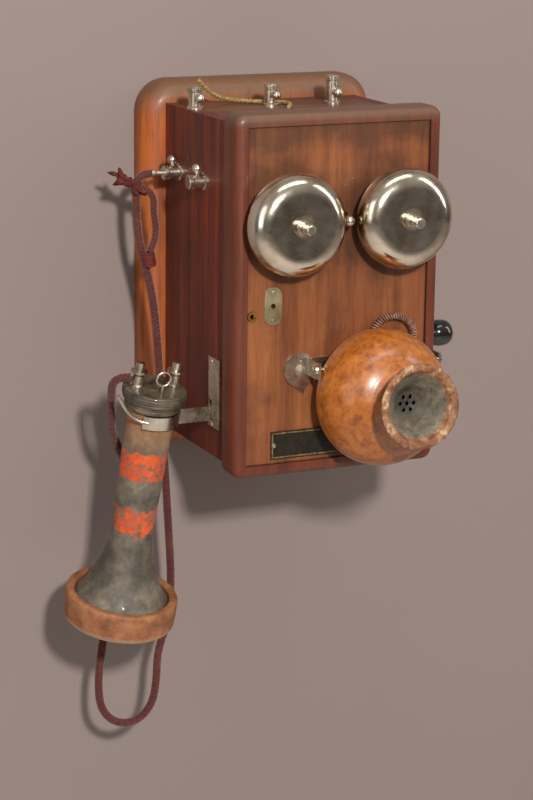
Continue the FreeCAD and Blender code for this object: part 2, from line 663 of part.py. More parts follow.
# ------------------------------------------------------------------ ringer
def make_ringer():
    rise = gong_off + gong_deep
    profile = [(gong_r, 0), (gong_r, gong_deep - gong_shoulder),
               (gong_r - gong_shoulder, gong_deep, gong_r - gong_shoulder, gong_deep - gong_shoulder, "v"),
               (gong_post_r, gong_deep), (gong_post_r, gong_deep - gong_wall),
               (gong_r - gong_shoulder, gong_deep - gong_wall),
               (gong_r - gong_wall, gong_deep - gong_shoulder,
                gong_r - gong_shoulder, gong_deep - gong_shoulder, "u"),
               (gong_r - gong_wall, 0)]
    posts, nuts = [], []
    for name, side in (("left_gong", -1), ("right_gong", 1)):
        x = ringer_x + side * gong_spread
        turned(name, profile, x, panel_y - gong_off, gong_z, FACING_FRONT)
        posts.append(turned(name + "_post", [(0, 0), (6, 0), (6, 2), (gong_post_r + 1.5, 3),
                                             (gong_post_r + 1.5, rise - gong_wall),
                                             (gong_post_r, rise - gong_wall), (gong_post_r, rise), (0, rise)],
                            x, panel_y, gong_z, FACING_FRONT))
        nuts.append(turned(name + "_nut", [(0, 0), (5.6, 0), (5.6, 1), (4.4, 1), (4.4, 5.5), (3.2, 5.5),
                                           (3.2, 9.6), (2.6, 10.2), (0, 10.2)],
                           x, panel_y - rise, gong_z, FACING_FRONT))
    group("gong_posts", *posts)
    group("gong_screws", *nuts)
    frame_low, frame_high = door_back + 22, door_back + 24.5
    base = block("ringer_base", (ringer_x - 30, door_back, gong_z - 62),
                 (ringer_x + 30, door_back + 2.5, gong_z - 46))
    stand = block("ringer_stand", (ringer_x - 30, door_back, gong_z - 62),
                  (ringer_x + 30, frame_high, gong_z - 59.5))
    ear = block("ringer_pivot_plate", (ringer_x - 5, door_back, gong_z - 46),
                (ringer_x + 5, door_back + 2.5, gong_z - clapper_arm + 3))
    axle = rod("ringer_axle", (ringer_x, door_back + 2.5, gong_z - clapper_arm), 1.2, 10.5, FACING_BACK)
    united("ringer_frame", base, stand, ear, axle)
    coils = [turned("ringer_coil%d" % index, [(0, 0), (8.5, 0), (8.5, 1.2), (7.4, 1.2), (7.4, 17), (8.5, 17),
                                              (8.5, 18.2), (2.6, 18.2), (2.6, 19.4), (0, 19.4)],
                    ringer_x + side * 19, door_back + 12.5, gong_z - 59.5) for index, side in enumerate((-1,
                                                                                                         1))]
    magnet = block("ringer_magnet", (ringer_x - 4, frame_high, gong_z - 62),
                   (ringer_x + 4, frame_high + 5, gong_z - 20))
    group("ringer_coils", *coils, magnet)
    bar = block("armature_bar", (ringer_x - 27, door_back + 8, gong_z - clapper_arm - 2.5),
                (ringer_x + 27, door_back + 13, gong_z - clapper_arm + 2.5))
    bore = rod("armature_bore", (ringer_x, door_back + 5, gong_z - clapper_arm), 1.2 + running, 12,
               FACING_BACK)
    cut("ringer_armature", bar, bore)
    upright = rod("clapper_upright", (ringer_x, door_back + 10.5, gong_z - clapper_arm + 2.5), wire_r,
                  clapper_arm - 2.5)
    bend = ball("clapper_bend", (ringer_x, door_back + 10.5, gong_z), wire_r)
    reach = panel_y - gong_off - 1
    forward = rod("clapper_forward", (ringer_x, door_back + 10.5, gong_z), wire_r, door_back + 10.5 - reach,
                  FACING_FRONT)
    striker = ball("clapper_ball", (ringer_x, reach, gong_z), ball_r)
    united("clapper", upright, bend, forward, striker)


# ------------------------------------------------------------------ magneto and crank
def make_magneto():
    gear_centres = gear_module * (gear_teeth + pinion_teeth) / 2
    armature_z = crank_z - gear_centres
    foot = case_wall - case_top_z
    leg_top = crank_z + 2
    magnets = []
    for index in range(3):
        outer = magnet_inner + magnet_thick
        steps = [(outer, foot), (outer, leg_top), (0, leg_top + outer, 0, leg_top, "v"),
                 (-outer, leg_top, 0, leg_top, "u"), (-outer, foot), (-magnet_inner, foot),
                 (-magnet_inner, leg_top), (0, leg_top + magnet_inner, 0, leg_top, "v"),
                 (magnet_inner, leg_top, 0, leg_top, "u"), (magnet_inner, foot)]
        magnets.append(plate("magnet%d" % index, steps, magnet_width,
                             magneto_x + index * (magnet_width + magnet_gap), -magneto_y, 0,
                             Rotation(Vector(1, 1, 1), 120)))
    group("magneto_magnets", *magnets)
    stack = 3 * magnet_width + 2 * magnet_gap
    shoe = block("pole_block", (magneto_x - 1, -magneto_y - magnet_inner, foot),
                 (magneto_x + stack + 1, magnet_inner - magneto_y, armature_z + armature_r - 1))
    tunnel = rod("armature_tunnel", (magneto_x - 2, -magneto_y, armature_z), armature_r + loose, stack + 4,
                 FACING_RIGHT)
    throat = block("pole_gap", (magneto_x - 2, -magneto_y - 6, foot - 1),
                   (magneto_x + stack + 2, 6 - magneto_y, armature_z + armature_r + 1))
    shoes = cut("pole_shoes", shoe, tunnel, throat)
    plates = [shoes]
    for index, x in enumerate((magneto_x - 1 - plate_thick, magneto_x + stack + 1)):
        blank = block("end_plate%d" % index, (x, -magneto_y - 21, foot),
                      (x + plate_thick, 21 - magneto_y, crank_z + 12))
        bores = [rod("shaft_bore%d" % index, (x - 1, -magneto_y, crank_z), crank_r + running,
                     plate_thick + 2, FACING_RIGHT),
                 rod("axle_bore%d" % index, (x - 1, -magneto_y, armature_z), axle_r + running,
                     plate_thick + 2, FACING_RIGHT)]
        plates.append(cut("end_plate_bored%d" % index, blank, *bores))
    group("magneto_frame", *plates)
    core = rod("armature_core", (magneto_x, -magneto_y, armature_z), armature_r, stack, FACING_RIGHT)
    axle = rod("armature_axle", (gear_x, -magneto_y, armature_z), axle_r, stack + 15, FACING_RIGHT)
    united("armature", core, axle)
    pinion = doc.addObject("Part::Feature", "armature_pinion")
    pinion.Shape = gear_shape(pinion_teeth, gear_module, gear_thick, axle_r, 0)
    place(pinion, gear_x, -magneto_y, armature_z)
    wheel = doc.addObject("Part::Feature", "main_gear")
    wheel.Shape = gear_shape(gear_teeth, gear_module, gear_thick, crank_r, pi / gear_teeth)
    place(wheel, gear_x, -magneto_y, crank_z)
    rod("crank_shaft", (gear_x - 2, -magneto_y, crank_z), crank_r, arm_x + arm_thick + 2 - gear_x,
        FACING_RIGHT)


def make_crank():
    turned("crank_bushing", [(crank_r + running, -case_wall), (bushing_r, -case_wall), (bushing_r, 0),
                             (flange_r, 0), (flange_r - 1.5, 2), (bushing_r + 1, 3.5), (crank_r + running,
                                                                                        3.5)],
           half_case, -magneto_y, crank_z, FACING_RIGHT)
    knob_y, knob_z = -magneto_y - arm_reach_y, crank_z + arm_reach_z
    hub = rod("arm_hub", (arm_x, -magneto_y, crank_z), 8, arm_thick, FACING_RIGHT)
    eye = rod("arm_eye", (arm_x, knob_y, knob_z), 5.5, arm_thick, FACING_RIGHT)
    slope = atan2(number(arm_reach_z), -number(arm_reach_y))
    reach = hypot(number(arm_reach_y), number(arm_reach_z))
    bar = plate("arm_bar", [(0, -5), (reach, -3.6), (reach, 3.6), (0, 5)], arm_thick, arm_x, -magneto_y,
                crank_z,
                Rotation(Vector(1, 0, 0), degrees(slope)) * Rotation(Vector(1, 1, 1), 120))
    bore = rod("arm_bore", (arm_x - 1, -magneto_y, crank_z), crank_r, arm_thick + 2, FACING_RIGHT)
    arm = cut("arm_bored", united("arm_solid", hub, eye, bar), bore)
    stud = rod("knob_stud", (arm_x + arm_thick, knob_y, knob_z), stud_r, knob_long - 2.5, FACING_RIGHT)
    united("crank_arm", arm, stud)
    turned("crank_knob", [(stud_r + running, 0.4), (6, 0.4), (6.6, 3), (knob_r - 0.6, 6), (knob_r, 9),
                          (knob_r, knob_long - 5), (knob_r - 5, knob_long, knob_r - 5, knob_long - 5, "v"),
                          (0, knob_long), (0, knob_long - 2), (stud_r + running, knob_long - 2)],
           arm_x + arm_thick, knob_y, knob_z, FACING_RIGHT)


# ------------------------------------------------------------------ transmitter
def make_bracket():
    lobe_x, lobe_z = LOBE
    back, front = panel_y, panel_y - ear_thick
    disc = rod("lobe_disc", (lobe_x, back, lobe_z), lobe_r, ear_thick, FACING_FRONT)
    tip = plate("lobe_tip", [(9.4, -5.5), (1.6, -15), (-9.6, -5.1), (0, 0)], ear_thick, lobe_x, back,
                lobe_z, FACING_FRONT)
    left_in, right_in = mic_x - ear_gap, mic_x + ear_gap
    strip = block("bracket_strip", (lobe_x, front, lobe_z - 5.5), (panel_half - 0.4, back, lobe_z + 7))
    left = block("left_ear", (left_in - ear_thick, panel_y - pivot_off - 3.5, pivot_z - 6),
                 (left_in, back, pivot_z + 4.5))
    rise = door_front - 0.2
    riser = block("bracket_riser", (panel_half - 0.4 - ear_thick, rise - ear_thick, pivot_z - 6),
                  (panel_half - 0.4, back, pivot_z + 4.5))
    shelf = block("bracket_shelf", (panel_half - 0.4 - ear_thick, rise - ear_thick, pivot_z - 6),
                  (right_in + ear_thick, rise, pivot_z + 4.5))
    right = block("right_ear", (right_in, panel_y - pivot_off - 3.5, pivot_z - 6),
                  (right_in + ear_thick, rise, pivot_z + 4.5))
    holes = [rod("pivot_hole", (left_in - ear_thick - 1, panel_y - pivot_off, pivot_z), pivot_r,
                 2 * ear_gap + 2 * ear_thick + 2,
                 FACING_RIGHT)]
    holes += [pilot("strip_hole%d" % index, *place_at, FACING_FRONT, 1.6, 12)
              for index, place_at in enumerate(bracket_screws())]
    cut("transmitter_bracket", united("bracket_solid", disc, tip, strip, left, riser, shelf, right), *holes)
    pins = []
    for index, (x,
                side, turn) in enumerate(((left_in - ear_thick, -1, FACING_LEFT),
                                          (right_in + ear_thick, 1, FACING_RIGHT))):
        pins.append(turned("pivot_screw%d" % index,
                           [(0, -ear_thick - 7), (pivot_r - 0.6, -ear_thick - 7), (pivot_r, -ear_thick - 6.4),
                                                     (pivot_r, 0), (3.2, 0), (2.6, 1.6), (0, 2)],
                           x, panel_y - pivot_off, pivot_z, turn))
    group("transmitter_pivots", *pins)


def mic_piece(name, steps):
    """A turned piece of the transmitter, on its own tilted axis."""
    return turned(name, steps, mic_x, panel_y - mic_off, mic_z, MIC_TURN)


def make_transmitter():
    dome_middle = mic_r - mic_dome
    shell = mic_piece("shell_blank", [
        (34, -3), (mic_r - 3, -3), (mic_r - 0.8, -1.5), (mic_r, 1), (mic_r, 4),
        (mic_neck + 4, 34, dome_middle, 4, "v"), (mic_neck, mic_deep), (throat_r + 0.2, mic_deep),
        (throat_r + 0.2, 31), (28, 14), (34, 8)])
    bore = rod("shell_pivot_bore", (mic_x - mic_r - 1, panel_y - pivot_off, pivot_z), pivot_r + running,
               2 * mic_r + 2,
               FACING_RIGHT)
    cut("transmitter_shell", shell, bore)
    disc = mic_piece("back_disc", [(0, -3), (33.9, -3), (33.9, -1.4), (0, -1.4)])
    cut("transmitter_back", disc,
        rod("lead_exit", (LEAD_MIC[0] + MIC_SHIFT, panel_y, LEAD_MIC[2]), lead_r + loose, 30, FACING_FRONT))
    mic_piece("transmitter_diaphragm", [(0, 7.2), (33.9, 7.2), (33.9, 8), (0, 8)])
    mic_piece("carbon_button", [(0, -1.4), (3, -1.4), (3, 0), (11, 0), (11, 7.2), (0, 7.2)])
    rim = mic_deep + mouth_long
    floor = mic_deep + 2.5
    funnel = mic_piece("mouthpiece_blank", [
        (0, mic_deep + 1), (throat_r, mic_deep + 1), (throat_r, mic_deep), (mic_neck - 0.3, mic_deep),
        (mic_neck - 1.5, mic_deep + 3), (mic_neck, rim - 9), (mouth_r - 1.6, rim - 2.2),
        (mouth_r, rim - 1.4), (mouth_r, rim), (mouth_r - 2.4, rim + 0.8), (mouth_r - 4.8, rim),
        (mouth_r - 6.6, rim - 3.5), (mouth_r - 10.4, rim - 9), (throat_r + 3, rim - 14), (throat_r,
                                                                                          floor + 1),
        (throat_r - 0.5, floor), (0, floor)])
    turn = MIC_TURN
    holes = []
    for index in range(7):
        radius, angle = (0, 0) if index == 0 else (4.6, pi * index / 3)
        shift = turn.multVec(Vector(radius * cos(angle), radius * sin(angle), number(mic_deep)))
        holes.append(rod("sound_hole%d" % index,
                         (mic_x + shift.x, panel_y - mic_off + shift.y, mic_z + shift.z),
                         1.3, 4, turn))
    cut("mouthpiece", funnel, *holes)


# ------------------------------------------------------------------ hook switch
def make_hook():
    inner_end = hook_inside + 8
    arm = block("hook_bar", (-half_case - 24.6, -hook_y - hook_thick / 2, hook_z - hook_tall / 2),
                (inner_end - half_case, hook_thick / 2 - hook_y, hook_z + hook_tall / 2))
    pivot = rod("hook_bore", (hook_inside - half_case, -hook_y + 3, hook_z), hook_pin_r + running, 6,
                FACING_FRONT)
    band = turned("fork_ring",
                  [(fork_r, -fork_tall), (fork_r + fork_wall, -fork_tall), (fork_r + fork_wall, 0),
                   (fork_r, 0)],
                  -half_case - hook_reach, -hook_y, fork_z, RECEIVER_TURN)
    mouth = place(doc.addObject("Part::Box", "fork_mouth"), -half_case - hook_reach, -hook_y, fork_z,
                  RECEIVER_TURN)
    bind(mouth, "Length", 40)
    bind(mouth, "Width", 2 * (fork_r - 2.2))
    bind(mouth, "Height", 2 * fork_tall)
    shift = RECEIVER_TURN.multVec(Vector(-43, -number(fork_r) + 2.2, -1.5 * number(fork_tall)))
    place(mouth, -half_case - hook_reach + shift.x, -hook_y + shift.y, fork_z + shift.z, RECEIVER_TURN)
    clear = rod("fork_clear", (0, 0, 0), fork_r, 3 * fork_tall)
    shift = RECEIVER_TURN.multVec(Vector(0, 0, -2 * number(fork_tall)))
    place(clear, -half_case - hook_reach + shift.x, -hook_y + shift.y, fork_z + shift.z, RECEIVER_TURN)
    fork = cut("fork_open", band, mouth)
    horn = tube("fork_horn", shifted(HORN_ROUTE, 67.5 - half_case, 99.5 - hook_y), 1.1)
    cut("hook_lever", united("hook_solid", arm, fork, horn), pivot, clear)
    ears = []
    for index, y in enumerate((-hook_y - hook_thick / 2 - 0.6 - 1.5, hook_thick / 2 + 0.6 - hook_y)):
        ears.append(block("hook_cheek%d" % index, (-case_inside, y, hook_z - 8),
                          (hook_inside - half_case + 5, y + 1.5, hook_z + 8)))
    cheeks = united("hook_cheeks", *ears)
    hole = rod("hook_cheek_hole", (hook_inside - half_case, 6 - hook_y, hook_z), hook_pin_r, 12, FACING_FRONT)
    pin = rod("hook_pin", (hook_inside - half_case, 5 - hook_y, hook_z), hook_pin_r, 10, FACING_FRONT)
    group("hook_pivot", cut("hook_cheeks_bored", cheeks, hole), pin)
    blank = block("hook_plate_blank", (-half_case - 1.2, -hook_y - 13.5, hook_z - 8.5),
                  (-half_case, 3.5 - hook_y, hook_z + 36.5))
    slot = block("hook_plate_slot",
                 (-half_case - 2, -hook_y - hook_thick / 2 - loose, hook_z - hook_tall / 2 - loose),
                 (1 - half_case, hook_thick / 2 + loose - hook_y, hook_z + hook_tall / 2 + 4))
    cut("hook_plate", blank, slot, *[pilot("hook_plate_hole%d" % index, *place_at, FACING_LEFT, 0.9, 8)
                                     for index, place_at in enumerate(hook_plate_screws())])
    springs = []
    for index in range(3):
        x = inner_end - half_case + 3 + 3 * index
        springs.append(block("contact_leaf%d" % index, (x, -hook_y - 3, hook_z - 4),
                             (x + 0.6, 3 - hook_y, hook_z + 46)))
    base = block("spring_base", (inner_end - half_case + 2, -hook_y - 3.5, hook_z + 34),
                 (inner_end - half_case + 11, 3.5 - hook_y, hook_z + 46))
    ledge = block("spring_bracket", (-case_inside, -hook_y - 3.5, hook_z + 46),
                  (inner_end - half_case + 11, 3.5 - hook_y, hook_z + 48))
    united("hook_contact_springs", base, ledge, *springs)


# ------------------------------------------------------------------ receiver
def receiver_piece(name, steps):
    """A turned piece of the receiver, on the axis it hangs along."""
    return turned(name, steps, -half_case - hook_reach, -hook_y, fork_z, RECEIVER_TURN)


def receiver_point(across, forward, up):
    """A place given in the receiver's own frame, tied to the hook's place."""
    shift = RECEIVER_TURN.multVec(Vector(across, forward, up))
    return (-half_case - hook_reach + shift.x, -hook_y + shift.y, fork_z + shift.z)


def make_receiver():
    bore, seat = body_r - shell_wall, 0.4
    flange, waist = -bell_down, -waist_down
    rim = flange - 6
    receiver_piece("receiver_body", [
        (body_r, seat), (body_r, -fork_tall - 2), (waist_r, waist), (waist_r + 0.7, waist - 7),
        (waist_r + 3, waist - 17), (waist_r + 5, waist - 23), (waist_r + 7.9, waist - 30),
        (waist_r + 11.4, waist - 37), (bell_r - 2.2, flange - 1), (bell_r, flange - 3.5), (bell_r, rim),
        (bell_r - 3, rim), (bell_r - 3, flange - 4), (waist_r + 8.6, waist - 37),
        (waist_r + 5.1, waist - 30), (waist_r + 2.3, waist - 23), (waist_r + 0.3, waist - 17),
        (waist_r + 0.6 - shell_wall, waist - 6), (waist_r - shell_wall, waist), (bore, -fork_tall - 2),
        (bore, seat)])
    receiver_piece("receiver_tail_cap", [
        (0, seat), (tail_r - 3, seat), (tail_r - 2.2, 1.4), (tail_r - 2.2, 5.2), (tail_r - 0.8, 6),
        (tail_r - 0.8, 7.4), (tail_r, 8), (tail_r, tail_tall - 0.8), (tail_r - 1.2, tail_tall + 0.4),
        (0, tail_tall + 0.4)])
    receiver_piece("receiver_ear_cap", [
        (bell_r, flange - 1), (bell_r + 1, flange), (ear_r - 1.5, flange), (ear_r, flange - 1.5), (ear_r,
                                                                                                   rim - ear_tall + 5),
        (ear_r - 1.8, rim - ear_tall + 2.5), (ear_r - 5, rim - ear_tall + 2), (ear_hole + 2, rim - 6.5),
        (ear_hole, rim - 6), (ear_hole, rim - 4), (bell_r - 3.5, rim - 2), (bell_r - 3.5,
                                                                            rim - 0.7), (bell_r, rim - 0.7)])
    receiver_piece("receiver_diaphragm",
                   [(0, rim - 0.6), (bell_r - 0.2, rim - 0.6), (bell_r - 0.2, rim - 0.1), (0, rim - 0.1)])
    bars = []
    for index, (low,
                high, start, end) in enumerate(((-9, -5, -124, -12), (5, 9, -124, -12), (-9, 9, -16, -8))):
        bar = doc.addObject("Part::Box", "receiver_bar%d" % index)
        bind(bar, "Length", high - low)
        bind(bar, "Width", 8)
        bind(bar, "Height", end - start)
        bars.append(place(bar, *receiver_point(low, -4, start), RECEIVER_TURN))
    magnet = united("receiver_magnet_bars", *bars)
    coils, posts = [], []
    for index, side in enumerate((-1, 1)):
        at = receiver_point(side * 7, 0, -124)
        coils.append(turned("receiver_coil%d" % index,
                            [(0, 0), (5.5, 0), (5.5, -9), (2, -9), (2, -11.5), (0, -11.5)],
                            *at, RECEIVER_TURN))
        at = receiver_point(side * number(post_spread), 0, number(tail_tall) + 0.4)
        posts.append(turned("receiver_post%d" % index, [
            (0, 0), (4.6, 0), (4.6, 1.6), (3.5, 2.4), (3.5, 8), (2.8, 8.6), (2.8, 9.4), (5.4, 10), (5.4,
                                                                                                    11.2),
            (2.7, 12), (2.7, 16.4), (0, 16.8)], *at, RECEIVER_TURN))
    group("receiver_magnet", magnet, *coils)
    group("receiver_posts", *posts)
    eye_turn = RECEIVER_TURN * FACING_FRONT
    eye = ring("receiver_eye", receiver_point(0, -11, number(tail_tall) + 10), 4.6, 0.8, eye_turn)
    stem = rod("receiver_eye_stem", receiver_point(0, -11, number(tail_tall) + 0.4), 0.9, 5.4, RECEIVER_TURN)
    united("receiver_ring", eye, stem)


# ------------------------------------------------------------------ posts, wires and coil
def post(name, radius, tall, stud, x, y, z, turn=UPRIGHT):
    """A binding post: base, grooved barrel, flanged top, and a stud into the wood."""
    return turned(name,
                  [(0, -stud), (1.6, -stud), (1.6, 0), (radius + 1.2, 0), (radius + 1.2, 1.2), (radius, 2),
                         (radius, tall - 3.4), (radius - 0.6, tall - 3), (radius - 0.6, tall - 2.4),
                         (radius + 0.3, tall - 2), (radius + 0.3, tall - 0.8), (radius - 0.5, tall), (0,
                                                                                                      tall)], x, y, z, turn)


def thumbscrew(name, x, y, z, turn):
    """A ball-headed clamping screw."""
    return turned(name, [(0, 0), (1.38, 0), (1.38, 0.8), (0, 6.8871, 0, 3.6871, "v")], x, y, z, turn)


def make_posts():
    line = [post("line_post%d" % index, line_post_r, tall, 8, x, -line_post_y, case_top_z)
            for index, (x,
                        tall) in enumerate(zip(LINE_POST_X, (line_post_tall, line_post_tall, end_post_tall)))]
    group("line_posts", *line)
    side = [post("cord_post%d" % index, cord_post_r, cord_post_long, 8, -half_case, -y, cord_post_z,
                 FACING_LEFT)
            for index, y in enumerate(CORD_POST_Y)]
    group("cord_posts", *side)
    heads = [thumbscrew("line_screw%d" % index, x, -line_post_y - line_post_r, case_top_z + 7.5, FACING_FRONT)
             for index, x in enumerate(LINE_POST_X)]
    heads += [thumbscrew("cord_screw%d" % index, -half_case - 5.5, -y, cord_post_z + cord_post_r, UPRIGHT)
              for index, y in enumerate(CORD_POST_Y)]
    group("post_thumbscrews", *heads)


def make_induction_coil():
    x, y, z = COIL
    cheeks = [block("coil_cheek%d" % index, (side, -board_thick - 26, z - 13),
                    (side + 3, -board_thick, z + 13))
              for index, side in enumerate((-33, 30))]
    core = rod("coil_winding", (-30, -board_thick - 13, z), 10.5, 60, FACING_RIGHT)
    group("induction_coil", *cheeks, core)


def make_cords():
    turned("cord_tip", [(0, 0), (1.6, 0), (1.6, 5), (2.4, 5.8), (2.4, 8), (0, 8)],
           -half_case - cord_post_long, -CORD_POST_Y[0], cord_post_z, FACING_LEFT)
    tube("receiver_cord", hung(shifted(CORD_ROUTE, 67.5 - half_case), 14, 20, 99.5 - hook_y), cord_r)
    tube("cord_branch", shifted(BRANCH_ROUTE, 67.5 - half_case), strand_r)
    tube("transmitter_lead", shifted(LEAD_ROUTE, MIC_SHIFT, panel_y + 138.2), lead_r)
    tube("jumper_wire", shifted(JUMPER_ROUTE, 0, 0, case_top_z - 107), jumper_r)


# ------------------------------------------------------------------ build, test and write
def make_case_screws():
    screws = [screw("plate_screw%d" % index, *place_at, FACING_LEFT, 1.8, 0.9, 8)
              for index, place_at in enumerate(hook_plate_screws())]
    screws += [screw("leaf_screw%d" % index, *place_at, FACING_RIGHT, 2, 1, 8)
               for index, place_at in enumerate(leaf_screws())]
    group("case_screws", *screws)


NODES = """backboard case_left_side case_right_side case_top case_bottom case_hinge_leaves hinge_pins
case_screws line_posts cord_posts post_thumbscrews jumper_wire induction_coil hook_plate hook_pivot
hook_contact_springs magneto_magnets magneto_frame crank_bushing receiver_cord cord_branch cord_tip
crank_shaft main_gear crank_arm crank_knob armature armature_pinion
door door_hinge_leaves door_screws lock_escutcheon lock_body lock_bolt door_eyelet nameplate
left_gong right_gong gong_posts gong_screws ringer_frame ringer_coils clapper
ringer_armature transmitter_bracket transmitter_pivots transmitter_lead transmitter_shell
transmitter_back transmitter_diaphragm carbon_button mouthpiece hook_lever receiver_body
receiver_tail_cap receiver_ear_cap receiver_diaphragm receiver_magnet
receiver_posts receiver_ring""".split()

for make in (make_backboard, make_case, make_door, make_hinges, make_lock, make_door_trim, make_ringer,
             make_magneto, make_crank, make_bracket, make_transmitter, make_hook, make_receiver, make_posts,
             make_induction_coil, make_cords, make_case_screws):
    make()
doc.recompute()

for thing in doc.Objects:
    if "Invalid" in thing.State or "Error" in thing.State:
        raise RuntimeError("%s failed: %s" % (thing.Name, thing.State))
os.makedirs("parts", exist_ok=True)
for node in NODES:
    shape = doc.getObject(node).Shape
    if shape.isNull() or not shape.isValid() or not shape.Solids:
        raise RuntimeError("%s has no valid solid" % node)
    shape.exportStep("parts/%s.step" % node)
print(len(NODES), "nodes written")
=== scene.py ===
# %% [markdown]
# # A wall crank telephone
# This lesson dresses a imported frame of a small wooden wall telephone. The frame already
# has every joint and most of the metalwork in the right shape. The pieces that the eye
# rests on, such as the turned receiver, the gongs, the braided cord and the mouthpiece,
# are worked out here as smooth surfaces, and every piece gets a node material.

# %% Load the frame
import json
from math import cos, pi, radians, sin

import bmesh
import bpy
import numpy as np
from mathutils import Matrix, Vector


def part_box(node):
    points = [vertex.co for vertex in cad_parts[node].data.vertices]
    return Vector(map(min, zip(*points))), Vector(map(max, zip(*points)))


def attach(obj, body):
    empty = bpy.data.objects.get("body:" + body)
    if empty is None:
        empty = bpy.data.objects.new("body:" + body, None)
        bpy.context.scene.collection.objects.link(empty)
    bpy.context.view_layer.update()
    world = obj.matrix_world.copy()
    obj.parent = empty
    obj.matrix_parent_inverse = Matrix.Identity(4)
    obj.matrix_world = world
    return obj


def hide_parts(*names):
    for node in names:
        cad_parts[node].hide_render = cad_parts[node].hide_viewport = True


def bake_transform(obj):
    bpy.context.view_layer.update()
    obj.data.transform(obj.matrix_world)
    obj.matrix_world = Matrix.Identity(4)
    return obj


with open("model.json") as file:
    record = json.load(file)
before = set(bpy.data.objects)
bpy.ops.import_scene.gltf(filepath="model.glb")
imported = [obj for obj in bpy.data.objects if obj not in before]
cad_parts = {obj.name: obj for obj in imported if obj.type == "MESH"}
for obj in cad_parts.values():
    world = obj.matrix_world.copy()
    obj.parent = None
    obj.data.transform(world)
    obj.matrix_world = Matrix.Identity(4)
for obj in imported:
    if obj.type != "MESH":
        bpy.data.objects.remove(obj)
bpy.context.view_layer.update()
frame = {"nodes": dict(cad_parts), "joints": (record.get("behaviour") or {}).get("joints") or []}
nodes = frame["nodes"]
joints = {joint["name"]: joint for joint in frame["joints"]}

# %% [markdown]
# ## The camera
# A long lens a metre and a half away looks slightly down and to the right, so the left
# side, the door and the top edge all show. The camera is set by its three axes, because
# that gives its small roll as well as its aim.

# %% Camera
CAMERA_PLACE = Vector((-0.6177, -1.3933, 0.2859))
CAMERA_RIGHT = Vector((0.9116, -0.4109, 0.0114))
CAMERA_UP = Vector((0.0910, 0.2287, 0.9692))
camera_data = bpy.data.cameras.new("camera")
camera_data.sensor_fit = "VERTICAL"
camera_data.sensor_height = 36
camera_data.lens = 103.5
camera = bpy.data.objects.new("camera", camera_data)
bpy.context.scene.collection.objects.link(camera)
backwards = CAMERA_RIGHT.cross(CAMERA_UP).normalized()
upwards = backwards.cross(CAMERA_RIGHT).normalized()
turn = Matrix((CAMERA_RIGHT.normalized(), upwards, backwards)).transposed()
camera.matrix_world = Matrix.Translation(CAMERA_PLACE) @ turn.to_4x4()
bpy.context.scene.camera = camera
bpy.context.scene.view_settings.view_transform = "Standard"

# %% [markdown]
# ## Surfaces from two parameters
# Most new pieces are a grid of points: one parameter goes round the piece or across it,
# and the other goes along it. One helper turns such a grid into a mesh with a UV map, and
# a second sends a whole array of points into the place where the piece belongs.


# %% Grid helper
def surface(name, points, round_u=True, round_v=False, uv=None, sharp=38, values=None):
    """A mesh from points[v, u]: each face joins four neighbours of the grid, and a round
    direction joins its last row to its first. UV is (share round, share along), and values
    are attributes with one number for each point. Points in the same place become one."""
    rows, columns = points.shape[:2]
    v, u = np.meshgrid(np.arange(rows - (not round_v)), np.arange(columns - (not round_u)), indexing="ij")
    v, u = v.ravel(), u.ravel()
    next_v, next_u = (v + 1) % rows, (u + 1) % columns
    here, after = v * columns, next_v * columns
    corners = np.stack([here + u, here + next_u, after + next_u, after + u], 1)
    mesh = bpy.data.meshes.new(name)
    mesh.from_pydata(points.reshape(-1, 3).tolist(), [], corners.tolist())
    along = np.stack([v, v, v + 1, v + 1], 1) / max(rows - 1, 1)
    around = np.stack([u, u + 1, u + 1, u], 1) / columns
    if uv is not None:
        along = uv[np.stack([v, v, next_v, next_v], 1)]
    layer = mesh.uv_layers.new(name="UVMap")
    layer.data.foreach_set("uv", np.stack([around, along], 2).ravel().astype(np.float32))
    for key, numbers in (values or {}).items():
        attribute = mesh.attributes.new(key, "FLOAT", "POINT")
        attribute.data.foreach_set("value", np.asarray(numbers, np.float32).ravel())
    whole = bmesh.new()
    whole.from_mesh(mesh)
    bmesh.ops.remove_doubles(whole, verts=whole.verts, dist=1e-6)
    bmesh.ops.recalc_face_normals(whole, faces=whole.faces)
    whole.to_mesh(mesh)
    whole.free()
    mesh.shade_smooth()
    mesh.set_sharp_from_angle(angle=radians(sharp))
    piece = bpy.data.objects.new(name, mesh)
    bpy.context.scene.collection.objects.link(piece)
    return piece


def softened(profile, cut=0.0005, rounds=2):
    """The profile with its corners cut off: each corner becomes two points, a little way
    down each of its sides, and the second round cuts those again by half as much."""
    line = np.array(profile, float)
    for _ in range(rounds):
        before, here, after = line[:-2], line[1:-1], line[2:]
        back, ahead = before - here, after - here
        back_long = np.linalg.norm(back, axis=1, keepdims=True)
        ahead_long = np.linalg.norm(ahead, axis=1, keepdims=True)
        first = here + back / back_long * np.minimum(cut, back_long * 0.3)
        second = here + ahead / ahead_long * np.minimum(cut, ahead_long * 0.3)
        middle = np.stack([first, second], 1).reshape(-1, 2)
        line = np.concatenate([line[:1], middle, line[-1:]])
        cut = cut / 2
    return line


def lathe(name, profile, place, steps=96, cut=0.0005, wobble=None):
    """A turned piece: each point (radius, height) of the profile goes round the axis as
    (radius cos a, radius sin a, height), and place sends that into the row frame. The UV
    goes up by 1 for each 0.1 m along the profile."""
    line = softened(profile, cut)
    angle = np.linspace(0, 2 * pi, steps, endpoint=False)
    radius, height = line[:, :1], line[:, 1:]
    if wobble is not None:
        radius = radius + wobble(radius, height, angle)
    points = np.stack(np.broadcast_arrays(radius * np.cos(angle), radius * np.sin(angle), height), 2)
    along = np.concatenate([[0], np.cumsum(np.linalg.norm(np.diff(line, axis=0), axis=1))])
    return surface(name, place(points), uv=along * 10)


